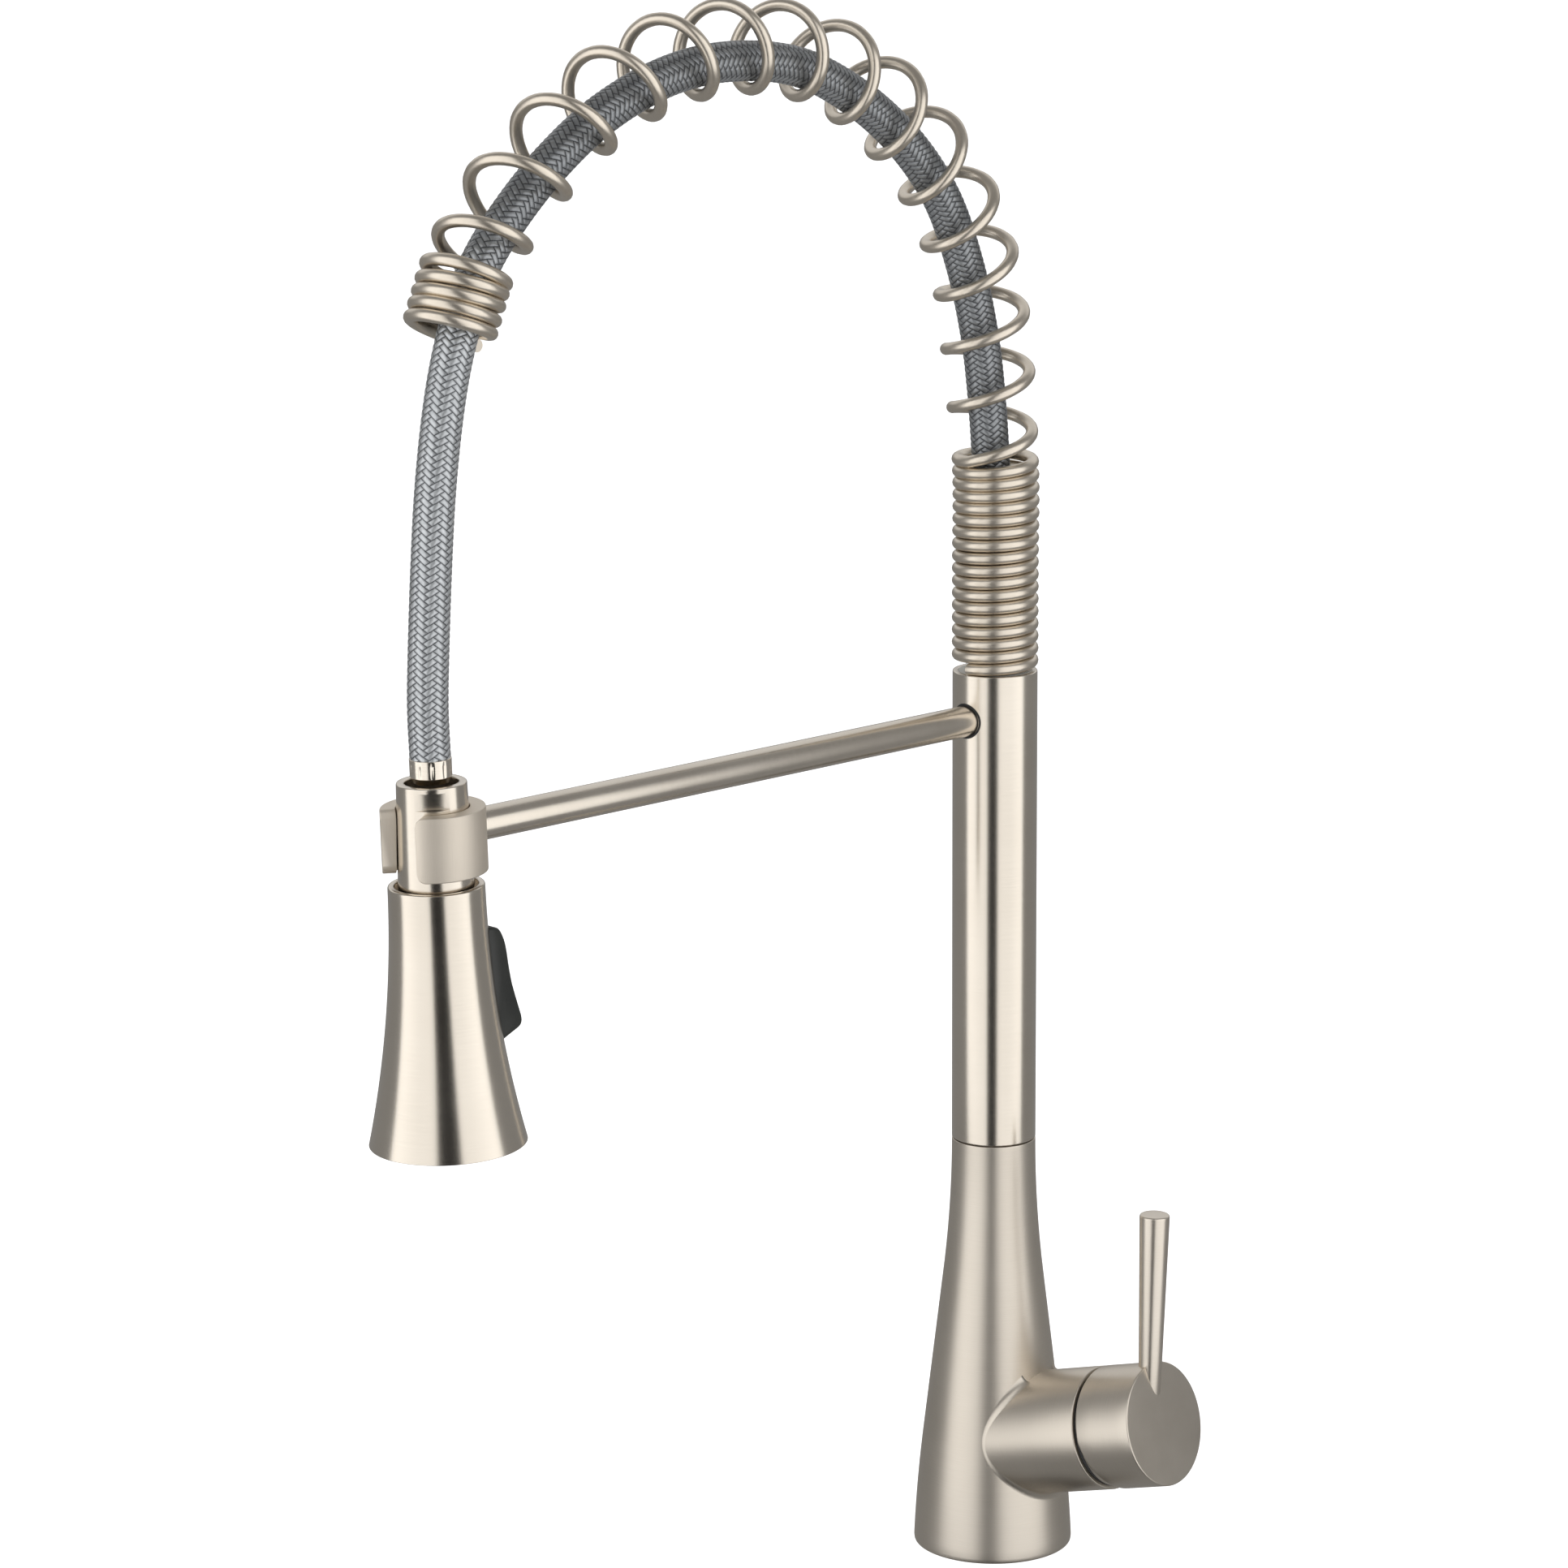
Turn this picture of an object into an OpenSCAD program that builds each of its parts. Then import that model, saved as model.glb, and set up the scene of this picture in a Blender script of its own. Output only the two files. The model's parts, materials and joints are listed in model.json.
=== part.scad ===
// Pull-down kitchen faucet with a spring-supported hose, an angled side valve and a docking arm.
// Millimetres. The deck is the plane z = 0 on the column's axis, the spray head hangs towards -Y,
// and the valve handle sticks out towards +X.

/* [Body] */
// Diameter of the foot on the deck
foot_d = 52; // [50:0.5:56]
// Thickness of the deck between the foot and the rubber washer
deck_thickness = 30; // [12:1:36]
// Length of the threaded shank below the deck
shank_length = 62; // [60:1:90]

/* [Handle] */
// How far the lever's top is above the deck
lever_top = 124; // [110:1:150]
// Lever diameter at its top
lever_top_d = 9.8; // [8.8:0.1:11]
// Lever diameter where it leaves the hub
lever_root_d = 7.6; // [7:0.1:8.4]
// Narrow gap between the valve body and the handle hub
hub_gap = 1.4; // [1.2:0.1:1.8]

/* [Spring] */
// Wire thickness of the support spring
wire_d = 3.8; // [3:0.1:3.8]
// Extra radius of the open turns over the closed ones
coil_swell = 0.9; // [0.9:0.1:1.2]

/* [Hose and arm] */
// Braided hose diameter
hose_d = 12.3; // [11:0.1:12.3]
// Docking arm rod diameter
arm_d = 10; // [8:0.2:10]

/* [Spray head] */
// Depth of the spray face inside the bell's mouth
face_inset = 2; // [1:0.5:4]
// Width of the toggle button
button_width = 16; // [14:1:17]
// Number of spray nozzles in the outer ring
nozzle_count = 20; // [12:1:24]

/* [Hidden] */

// Colours of the finishes
nickel = [0.72, 0.69, 0.64];
brass = [0.78, 0.62, 0.33];
steel = [0.66, 0.67, 0.69];
rubber = [0.09, 0.09, 0.09];
black_plastic = [0.12, 0.12, 0.11];
white_plastic = [0.86, 0.86, 0.84];
braid = [0.55, 0.57, 0.60];

// Body and column
neck_r = 13.7;
seam_z = 139;
column_top_z = 295;
column_bore_r = 11.8;
seam_gap = 0.35;
seam_chamfer = 0.4;
spigot_r = 11;
spigot_top_z = 168;
spigot_bore_r = 7;
running_gap = 0.05;
oring_z = [146, 156];
oring_w = 2.2;
oring_depth = 1.4;
flare_r = 380;
flare_end_z = 93.4;
shoulder_r = 500;
shoulder_z = 38;
shoulder_wall_r = 23.1;
shoulder_centre_r = -473.35;
shoulder_centre_z = -21.5;
foot_round = 1.2;
usual_foot_d = 52;

// Below the deck
shank_r = 15.9;
shank_bore_r = 12.5;
shank_thread_depth = 12;
inlet_r = 4.5;
inlet_offset = 6.4;
inlet_depth = 16;
washer_r = 27;
nut_r = 28;
nut_height = 12;
nut_screw_circle_r = 21.5;
nut_screw_r = 2;
nut_screw_count = 3;

// Side valve: a frame whose local z runs outwards along the valve's axis
valve_z = 35.8;
valve_turn = 8;
valve_tilt = 15;
branch_r = 20.15;
branch_end = 48.6;
cartridge_r = 17.4;
cartridge_foot = 24;
cartridge_top = 40;
pivot_at = 44;
dome_r = 20;
dome_wall = 1.6;
seal_r = 18.9;
seal_top = 49.8;
hub_r = 20.15;
hub_face = 70.9;
hub_floor = 68.4;
hub_cut_angle = 11;
hub_clearance = 0.3;
edge_chamfer = 0.45;
stem_side = 7;
set_screw_at = 65.9;
set_screw_r = 2.2;
turret_r = 9;
lever_root_x = 62.8;
lever_root_z = 73.8;
lever_lean = 1.3;
lever_tail = 14;
lever_chamfer = 0.9;

// Spring: the coil's axis passes through these [y, z] points
spring_route = [[0, 295], [0, 330], [0, 360], [-3, 390], [-8, 420], [-19, 446], [-36, 467.5], [-59, 486],
  [-86, 498], [-115, 501.5], [-143, 498.5], [-169, 489], [-190, 476], [-208, 460], [-219, 446],
  [-224.5, 434], [-229, 423.5]];
// Distance along the axis, in mm, that the wire has reached after so many turns
spring_pace = [[0, 1.7], [17, 69.7], [21.5, 156], [31, 378], [32, 394], [37, 414]];
spring_turns = 37;
spring_steps = 14;
spring_sides = 6;
coil_r = 12;
first_open_turn = 17;
last_open_turn = 32;

// Spray head: a frame at the collar's top with its local z up the head's own axis
reach = 237.5;
head_z = 295.8;
head_lean = 2;
collar_top_r = 10.45;
collar_foot_r = 11.25;
collar_bore_r = 8;
collar_flat_depth = 0.72;
collar_flat_turn = 50;
collar_foot = -38;
rim_z = -31;
rim_r = 14.4;
rim_bore_r = 12.45;
bell_curve_r = 345;
bell_steps = 10;
mouth_z = -110.4;
shell_wall = 1.7;
ferrule_top = 7;
button_top = -46;
button_foot = -83;
toggle_pivot_y = 8.8;
toggle_pivot_z = -64;
spool_r = 5;
core_r = 11.6;

// Hose: its axis passes through these [y, z] points, up from the fitting and over to the spray head
hose_route = [[0, 252], [0, 292], [-0.8, 330], [-2, 360], [-4.5, 386], [-8, 406], [-14.5, 427.5],
  [-24.5, 448.5], [-40, 466.5], [-61, 482], [-86, 493.4], [-114, 497.1], [-140, 494.6], [-165.4, 485.8],
  [-186.5, 473], [-203.8, 458.3], [-215.8, 444.3], [-222.5, 430.3], [-227.4, 416], [-231, 400], [-234, 380],
  [-236, 358], [-237.6, 334], head_point(22), head_point(ferrule_top)];
hose_steps = 3;
hose_sides = 12;

// Arm and clip
arm_z = 280;
arm_inner_y = -9.6;
arm_seal_w = 0.8;
clip_r = 15.6;
clip_bore_gap = 0.3;
clip_top = -7.6;
clip_bottom = -27.1;
clip_mouth_w = 7.4;
clip_corner = 2.2;
clip_screw_at = 12;

// ---------- shared shapes ----------

module ring(outer_r, inner_r, low, high) {
  translate([0, 0, low])
    difference() {
      cylinder(r = outer_r, h = high - low, $fn = 96);
      translate([0, 0, -1])
        cylinder(r = inner_r, h = high - low + 2, $fn = 96);
    }
}

module post(r, low, high) {
  translate([0, 0, low])
    cylinder(r = r, h = high - low, $fn = 96);
}

// A post whose far edge is chamfered
module chamfered_post(r, low, high) {
  post(r, low, high - edge_chamfer);
  translate([0, 0, high - edge_chamfer])
    cylinder(r1 = r, r2 = r - edge_chamfer, h = edge_chamfer, $fn = 96);
}

// A round rubber ring that fills the groove of a shaft of radius shaft_r
module oring(shaft_r, depth, width, middle) {
  translate([0, 0, middle])
    rotate_extrude($fn = 96)
      translate([shaft_r - depth, -width / 2])
        square([depth, width]);
}

// The point [y, z] at a height on the spray head's axis
function head_point(z) = [-reach - z * sin(head_lean), head_z + z * cos(head_lean)];

module valve_frame() {
  translate([0, 0, valve_z])
    rotate([0, 0, valve_turn])
      rotate([0, 90 - valve_tilt, 0])
        children();
}

module head_frame() {
  translate([0, -reach, head_z])
    rotate([head_lean, 0, 0])
      children();
}

// ---------- curves ----------

// Point at parameter t of a smooth curve through the points p
function curve(p, t) =
  let (i = min(floor(t), len(p) - 2))
  let (u = t - i)
  let (a = i > 0 ? p[i - 1] : 2 * p[0] - p[1])
  let (b = p[i])
  let (c = p[i + 1])
  let (d = i + 2 < len(p) ? p[i + 2] : 2 * p[i + 1] - p[i])
  0.5 * (2 * b + (c - a) * u + (2 * a - 5 * b + 4 * c - d) * u * u + (3 * b - a - 3 * c + d) * u * u * u);

// Pairs of [distance along the curve, parameter], with so many steps between points
function curve_lengths(p, steps) = [
  for (i = 0, s = 0; i <= (len(p) - 1) * steps;
      s = s + norm(curve(p, (i + 1) / steps) - curve(p, i / steps)), i = i + 1)
    [s, i / steps]
];

function unit(v) = v / norm(v);

// Triangles that join rings of points into a closed tube
function tube_faces(rings, sides) = concat(
  [[for (j = [0 : sides - 1]) j]],
  [for (i = [0 : rings - 2]) for (j = [0 : sides - 1])
    let (k = (j + 1) % sides) [i * sides + j, (i + 1) * sides + j, i * sides + k]],
  [for (i = [0 : rings - 2]) for (j = [0 : sides - 1])
    let (k = (j + 1) % sides) [i * sides + k, (i + 1) * sides + j, (i + 1) * sides + k]],
  [[for (j = [sides - 1 : -1 : 0]) (rings - 1) * sides + j]]
);

spring_lengths = curve_lengths(spring_route, 12);

// Centre and direction of the coil's axis, as [y, z], at a distance s along it
function spring_axis(s) = curve(spring_route, lookup(s, spring_lengths));
function spring_dir(s) = unit(spring_axis(s + 0.5) - spring_axis(s - 0.5));

// How far the wire's centre is from the coil's axis after u turns
function coil_radius(u) =
  coil_r + coil_swell * max(0, min(1, (u - first_open_turn) / 1.5, (last_open_turn - u) / 1.5));

// Direction from the coil's axis to the wire after u turns
function coil_out(u) =
  let (d = spring_dir(max(1, lookup(u, spring_pace))))
  [sin(360 * u), -cos(360 * u) * d[1], cos(360 * u) * d[0]];

function wire_centre(u) =
  let (c = spring_axis(lookup(u, spring_pace)))
  [0, c[0], c[1]] + coil_radius(u) * coil_out(u);

function wire_ring(u) =
  let (t = unit(wire_centre(u + 0.01) - wire_centre(u - 0.01)))
  let (n = unit(coil_out(u) - (coil_out(u) * t) * t))
  let (b = cross(t, n))
  [for (j = [0 : spring_sides - 1])
    let (a = 360 * j / spring_sides)
    wire_centre(u) + wire_d / 2 * (cos(a) * n + sin(a) * b)];

// ---------- body on the deck ----------

// Half section of the body: a straight cone that flares into the neck and rounds over to the foot
module body_section() {
  difference() {
    square([neck_r + 4, seam_z]);
    translate([neck_r + flare_r, seam_z])
      circle(r = flare_r, $fn = 720);
    square([neck_r + 4, flare_end_z]);
    polygon([[neck_r - seam_chamfer, seam_z + 0.1], [neck_r + 1, seam_z + 0.1],
      [neck_r + 1, seam_z - seam_chamfer], [neck_r, seam_z - seam_chamfer]]);
  }
  polygon([[0, shoulder_z], [shoulder_wall_r, shoulder_z], [neck_r + 2.75, flare_end_z], [0, flare_end_z]]);
  intersection() {
    square([foot_d, shoulder_z]);
    translate([shoulder_centre_r + (foot_d - usual_foot_d) / 2, shoulder_centre_z])
      circle(r = shoulder_r, $fn = 720);
    polygon([[0, 0], [foot_d / 2 - foot_round, 0], [foot_d / 2 + 0.2, foot_round],
      [foot_d / 2 + 3, shoulder_z], [0, shoulder_z]]);
  }
}

module base_body() {
  color(nickel)
    difference() {
      union() {
        rotate_extrude($fn = 120)
          body_section();
        post(spigot_r, seam_z - 1, spigot_top_z);
        valve_frame()
          chamfered_post(branch_r, 4, branch_end);
      }
      post(spigot_bore_r, 60, spigot_top_z + 1);
      post(shank_r, -1, shank_thread_depth);
      post(shank_r + 1.4, -1, 1);
      for (side = [-1, 1])
        translate([0, side * inlet_offset, 0])
          post(inlet_r, shank_thread_depth - 1, shank_thread_depth + inlet_depth);
      ring(24, 21, -1, 2);
      for (z = oring_z)
        ring(spigot_r + 1, spigot_r - oring_depth, z - oring_w / 2, z + oring_w / 2);
      ring(spigot_r + 1, spigot_r - 1.5, spigot_top_z - 3.2, spigot_top_z - 2);
      valve_frame() {
        post(cartridge_r, cartridge_foot, branch_end + 1);
        for (x = [-7, 0, 7])
          translate([x, x == 0 ? 7 : -3, 0])
            post(3, cartridge_foot - 8, cartridge_foot + 1);
      }
    }
}

module deck_gasket() {
  color(rubber)
    ring(24, 21, 0, 2);
}

module mounting_shank() {
  color(brass)
    ring(shank_r, shank_bore_r, -shank_length, shank_thread_depth);
}

module rubber_washer() {
  color(rubber)
    ring(washer_r, shank_r + 0.3, -deck_thickness - 3, -deck_thickness);
}

module steel_washer() {
  color(steel)
    ring(washer_r - 1, shank_r + 0.3, -deck_thickness - 5, -deck_thickness - 3);
}

module mounting_nut() {
  color(brass)
    translate([0, 0, -deck_thickness - 5 - nut_height])
      difference() {
        cylinder(r = nut_r, h = nut_height, $fn = 6);
        translate([0, 0, -1])
          cylinder(r = shank_r, h = nut_height + 2, $fn = 96);
        for (i = [0 : nut_screw_count - 1])
          rotate([0, 0, 360 / nut_screw_count * i])
            translate([nut_screw_circle_r, 0, -1])
              cylinder(r = nut_screw_r, h = nut_height + 2, $fn = 48);
      }
}

module nut_screws() {
  color(steel)
    for (i = [0 : nut_screw_count - 1])
      rotate([0, 0, 360 / nut_screw_count * i])
        translate([nut_screw_circle_r, 0, -deck_thickness - 5 - nut_height]) {
          cylinder(r = nut_screw_r, h = nut_height, $fn = 48);
          translate([0, 0, -3])
            difference() {
              cylinder(r = 3.4, h = 3, $fn = 48);
              translate([0, 0, -1])
                cylinder(r = 1.6, h = 2.6, $fn = 6);
            }
        }
}

module swivel_orings() {
  color(rubber)
    for (z = oring_z)
      oring(spigot_r, oring_depth, oring_w, z);
}

// Split ring that keeps the column from lifting off the spigot
module swivel_clip() {
  color(steel)
    difference() {
      ring(spigot_r + 0.5, spigot_r - 1.5, spigot_top_z - 3.2, spigot_top_z - 2);
      translate([-1.5, 0, spigot_top_z - 4])
        cube([3, spigot_r + 2, 3]);
    }
}

// ---------- side valve ----------

module valve_cartridge() {
  color(white_plastic)
    valve_frame()
      difference() {
        union() {
          post(cartridge_r - 0.1, cartridge_foot, cartridge_top - 3);
          post(cartridge_r - 3, cartridge_foot, cartridge_top);
        }
        post(turret_r + running_gap, cartridge_top - 8, cartridge_top + 1);
        for (x = [-7, 0, 7])
          translate([x, x == 0 ? 7 : -3, 0])
            post(4, cartridge_foot - 1, cartridge_foot + 1.2);
      }
}

module cartridge_seals() {
  color(rubber)
    valve_frame()
      for (x = [-7, 0, 7])
        translate([x, x == 0 ? 7 : -3, 0])
          ring(4, 2.6, cartridge_foot, cartridge_foot + 1.2);
}

// Ring nut that holds the cartridge down in the branch
module retaining_nut() {
  color(brass)
    valve_frame()
      difference() {
        post(cartridge_r, cartridge_top - 3, branch_end - 1.6);
        post(cartridge_r - 2.9, cartridge_top - 4, branch_end);
        for (i = [0 : 3])
          rotate([0, 0, 90 * i])
            translate([cartridge_r - 4, -2, branch_end - 3.6])
              cube([8, 4, 4]);
      }
}

// Black ring under the domed cover
module branch_seal() {
  color(rubber)
    valve_frame()
      ring(seal_r, cartridge_r + 0.2, branch_end, seal_top);
}

// Domed cover that shows in the wedge behind the handle hub
module valve_dome() {
  color(nickel)
    valve_frame()
      difference() {
        intersection() {
          translate([0, 0, pivot_at])
            sphere(r = dome_r, $fn = 96);
          post(hub_r, seal_top, pivot_at + 13);
        }
        translate([0, 0, pivot_at])
          sphere(r = dome_r - dome_wall, $fn = 96);
      }
}

module cartridge_turret() {
  color(white_plastic)
    valve_frame()
      difference() {
        post(turret_r, cartridge_top - 8, pivot_at + 3.6);
        translate([-stem_side / 2 - 2.4, -stem_side / 2 - 0.05, cartridge_top - 4])
          cube([stem_side + 4.8, stem_side + 0.1, 12]);
        translate([0, 0, pivot_at])
          rotate([90, 0, 0])
            cylinder(r = 1.5, h = 40, center = true, $fn = 48);
      }
}

module stem_pin() {
  color(steel)
    valve_frame()
      translate([0, 0, pivot_at])
        rotate([90, 0, 0])
          cylinder(r = 1.5, h = 2 * turret_r - 3, center = true, $fn = 48);
}

// Square stem that rocks on the pin and carries the handle hub
module control_stem() {
  color(brass)
    valve_frame()
      difference() {
        translate([-stem_side / 2, -stem_side / 2, cartridge_top - 1])
          cube([stem_side, stem_side, hub_floor - cartridge_top + 1]);
        translate([0, 0, pivot_at])
          rotate([90, 0, 0])
            cylinder(r = 1.5 + running_gap, h = 40, center = true, $fn = 48);
      }
}

// ---------- handle ----------

// The lever's solid, in the plane of the valve's axis, grown by a clearance where it is cut out
module lever_shape(extra) {
  rotate([0, 0, valve_turn])
    translate([lever_root_x, 0, lever_root_z])
      rotate([0, lever_lean, 0])
        translate([0, 0, -lever_tail])
          rotate_extrude($fn = 96)
            polygon([[0, 0], [lever_root_d / 2 - 0.4 + extra, 0], [lever_root_d / 2 + extra, lever_tail],
              [lever_top_d / 2 + extra, lever_top - lever_root_z + lever_tail - lever_chamfer],
              [lever_top_d / 2 - lever_chamfer + extra, lever_top - lever_root_z + lever_tail],
              [0, lever_top - lever_root_z + lever_tail]]);
}

module handle_hub() {
  color(nickel)
    difference() {
      valve_frame()
        difference() {
          chamfered_post(hub_r, branch_end + hub_gap, hub_face);
          translate([0, 0, pivot_at])
            sphere(r = dome_r + hub_clearance, $fn = 120);
          translate([-stem_side / 2, -stem_side / 2, branch_end])
            cube([stem_side, stem_side, hub_floor - branch_end]);
          translate([0, 0, branch_end + hub_gap])
            rotate([0, -hub_cut_angle, 0])
              translate([0, -hub_r - 1, -30])
                cube([2 * hub_r, 2 * hub_r + 2, 30]);
          translate([0, 0, set_screw_at])
            rotate([0, 90, 0])
              cylinder(r = set_screw_r, h = 2 * hub_r, $fn = 48);
        }
      lever_shape(0.03);
    }
}

module lever_rod() {
  color(nickel)
    lever_shape(0);
}

// Grub screw that clamps the hub on the stem, from below
module set_screw() {
  color(steel)
    valve_frame()
      translate([stem_side / 2, 0, set_screw_at])
        rotate([0, 90, 0])
          difference() {
            cylinder(r = set_screw_r, h = 7, $fn = 48);
            translate([0, 0, 4.5])
              cylinder(r = 1.3, h = 4, $fn = 6);
          }
}

// ---------- spout column, spring and arm ----------

module column_tube() {
  color(nickel)
    difference() {
      ring(neck_r, column_bore_r, seam_z + seam_gap, column_top_z);
      translate([0, 0, arm_z])
        rotate([90, 0, 0])
          cylinder(r = arm_d / 2, h = 40, $fn = 96);
      translate([0, -neck_r - 1, arm_z])
        rotate([-90, 0, 0])
          cylinder(r = arm_d / 2 + arm_seal_w, h = 2.2, $fn = 96);
    }
}

module swivel_bushing() {
  color(white_plastic)
    ring(column_bore_r, spigot_r + running_gap, seam_z + seam_gap, spigot_top_z - 4);
}

// Insert that anchors the hose inside the column
module hose_fitting() {
  color(brass)
    difference() {
      union() {
        post(column_bore_r, 238, 250);
        post(hose_d / 2 + 1.2, 250, 252);
      }
      post(3, 237, 253);
    }
}

module spring_seat() {
  color(white_plastic)
    difference() {
      union() {
        post(column_bore_r, 287, column_top_z);
        post(9.4, column_top_z - 1, column_top_z + 13);
      }
      post(8, 286, column_top_z + 14);
    }
}

module support_spring() {
  rings = spring_turns * spring_steps + 1;
  color(nickel)
    polyhedron(
      points = [for (i = [0 : rings - 1]) each wire_ring(i / spring_steps)],
      faces = tube_faces(rings, spring_sides),
      convexity = 10
    );
}

module dock_arm() {
  color(nickel)
    translate([0, arm_inner_y, arm_z])
      rotate([90, 0, 0])
        difference() {
          cylinder(r = arm_d / 2, h = reach - clip_r + arm_inner_y + 1, $fn = 96);
          translate([0, 0, reach - clip_r + arm_inner_y - 9])
            cylinder(r = 2, h = 11, $fn = 48);
        }
}

module arm_seal() {
  color(rubber)
    intersection() {
      translate([0, -neck_r - 1, arm_z])
        rotate([-90, 0, 0])
          difference() {
            cylinder(r = arm_d / 2 + arm_seal_w, h = 2.2, $fn = 96);
            translate([0, 0, -1])
              cylinder(r = arm_d / 2, h = 5, $fn = 96);
          }
      post(neck_r - 0.15, arm_z - 8, arm_z + 8);
    }
}

// Radius of the collar at a height z of the head's frame
function collar_r(z) = collar_top_r + (collar_foot_r - collar_top_r) * z / rim_z;

// Ring that is open towards the front, with its finger tips cut back at top and bottom
module dock_clip() {
  color(nickel)
    difference() {
      head_frame()
        difference() {
          post(clip_r, clip_bottom, clip_top);
          translate([0, 0, clip_bottom - 1])
            cylinder(
              r1 = collar_r(clip_bottom - 1) + clip_bore_gap,
              r2 = collar_r(clip_top + 1) + clip_bore_gap,
              h = clip_top - clip_bottom + 2,
              $fn = 96
            );
          clip_mouth();
        }
      translate([0, -reach + clip_r - 1, arm_z])
        rotate([-90, 0, 0])
          cylinder(r = arm_d / 2, h = 12, $fn = 96);
      translate([0, -reach + clip_screw_at, arm_z])
        rotate([-90, 0, 0])
          cylinder(r = 2, h = 11, $fn = 48);
      translate([0, -reach + clip_screw_at - 4, arm_z])
        rotate([-90, 0, 0])
          cylinder(r = 3.8, h = 4, $fn = 48);
      translate([0, -reach + clip_screw_at, arm_z])
        rotate([-90, 0, 0])
          cylinder(r1 = 3.8, r2 = 2, h = 1.8, $fn = 48);
    }
}

// Space between the two fingers
module clip_mouth() {
  translate([0, -8, 0])
    rotate([90, 0, 0])
      linear_extrude(12)
        polygon([[-clip_mouth_w - clip_corner, clip_top + 1], [-clip_mouth_w - clip_corner, clip_top],
          [-clip_mouth_w, clip_top - clip_corner], [-clip_mouth_w, clip_bottom + clip_corner],
          [-clip_mouth_w - clip_corner, clip_bottom], [-clip_mouth_w - clip_corner, clip_bottom - 1],
          [clip_mouth_w + clip_corner, clip_bottom - 1], [clip_mouth_w + clip_corner, clip_bottom],
          [clip_mouth_w, clip_bottom + clip_corner], [clip_mouth_w, clip_top - clip_corner],
          [clip_mouth_w + clip_corner, clip_top], [clip_mouth_w + clip_corner, clip_top + 1]]);
}

module clip_screw() {
  color(steel)
    translate([0, -reach + clip_screw_at, arm_z])
      rotate([-90, 0, 0])
        difference() {
          union() {
            cylinder(r1 = 3.8, r2 = 2, h = 1.8, $fn = 48);
            cylinder(r = 2, h = 11, $fn = 48);
          }
          translate([0, 0, -1])
            cylinder(r = 1.2, h = 2.4, $fn = 6);
        }
}

module spray_hose() {
  rings = (len(hose_route) - 1) * hose_steps + 1;
  color(braid)
    polyhedron(
      points = [for (i = [0 : rings - 1])
        let (t = i / hose_steps)
        let (c = curve(hose_route, t))
        let (d = i == 0 || i == rings - 1 ? unit(hose_route[1 + floor(t) - (i == 0 ? 0 : 1)]
            - hose_route[floor(t) - (i == 0 ? 0 : 1)])
          : unit(curve(hose_route, t + 0.1) - curve(hose_route, t - 0.1)))
        for (j = [0 : hose_sides - 1])
          let (a = 360 * j / hose_sides)
          [0, c[0], c[1]] + hose_d / 2 * [sin(a), -cos(a) * d[1], cos(a) * d[0]]],
      faces = tube_faces(rings, hose_sides),
      convexity = 10
    );
}

// ---------- hose end ----------

module hose_ferrule() {
  color(nickel)
    head_frame()
      difference() {
        rotate_extrude($fn = 96)
          polygon([[0, -4], [5.2, -4], [5.5, 0], [6.2, 1.6], [6.2, 6.2], [6, ferrule_top], [0, ferrule_top]]);
        post(3, -5, ferrule_top + 1);
      }
}

module hose_nipple() {
  color(brass)
    head_frame()
      difference() {
        union() {
          post(4.6, -34, -4);
          post(6.4, -12, -9);
        }
        post(3, -35, -3);
        for (z = [-20, -28])
          ring(6, 3.5, z - 1, z + 1);
      }
}

module nipple_orings() {
  color(rubber)
    head_frame()
      for (z = [-20, -28])
        oring(4.6, 1.1, 2, z);
}

// ---------- spray head ----------

module dock_collar() {
  color(nickel)
    head_frame()
      difference() {
        rotate_extrude($fn = 120)
          polygon([[4.6 + running_gap, collar_foot], [collar_foot_r, collar_foot], [collar_foot_r, rim_z],
            [collar_top_r, -0.5], [collar_top_r - 0.5, 0], [collar_bore_r, 0], [collar_bore_r, -12.3],
            [4.6 + running_gap, -12.3]]);
        for (turn = [0, 180])
          rotate([0, 0, collar_flat_turn + turn])
            translate([0, -collar_top_r + collar_flat_depth, -1.4])
              rotate([4, 0, 0])
                translate([-8, -5, -5.4])
                  cube([16, 5, 5.4]);
        ring(collar_bore_r + 0.5, 7, -8.4, -7.4);
      }
}

// Snap ring above the nipple's flange
module collar_clip() {
  color(steel)
    head_frame()
      difference() {
        ring(collar_bore_r + 0.5, 6, -8.4, -7.4);
        translate([-1.2, 0, -9])
          cube([2.4, 10, 3]);
      }
}

// Radius of the bell's flared outside at a height z of the head's frame
function bell_r(z) = rim_r + bell_curve_r - sqrt(bell_curve_r * bell_curve_r - (z - rim_z) * (z - rim_z));

// Half section of a body that stays this far inside the bell's outside
module bell_section(inset, low, high) {
  polygon(concat(
    [[0, high], [0, low]],
    [for (i = [0 : bell_steps])
      let (z = low + (high - low) * i / bell_steps)
      [bell_r(z) - inset, z]]
  ));
}

module button_window(grow) {
  translate([-button_width / 2 - grow, 8, button_foot - grow])
    cube([button_width + 2 * grow, 30, button_top - button_foot + 2 * grow]);
}

module spray_shell() {
  color(nickel)
    head_frame()
      difference() {
        rotate_extrude($fn = 120)
          difference() {
            bell_section(0, mouth_z, rim_z);
            polygon([[rim_r - 1, rim_z + 1], [rim_r - 1, rim_z], [rim_r - 0.3, rim_z - 0.3],
              [rim_r - 0.02, rim_z - 1], [rim_r + 2, rim_z - 1], [rim_r + 2, rim_z + 1]]);
            bell_section(shell_wall, mouth_z - 1, rim_z - 8);
            translate([0, rim_z - 3])
              square([rim_bore_r, 6]);
            translate([0, rim_z - 9])
              square([collar_foot_r, 10]);
          }
        button_window(0.4);
      }
}

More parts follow.
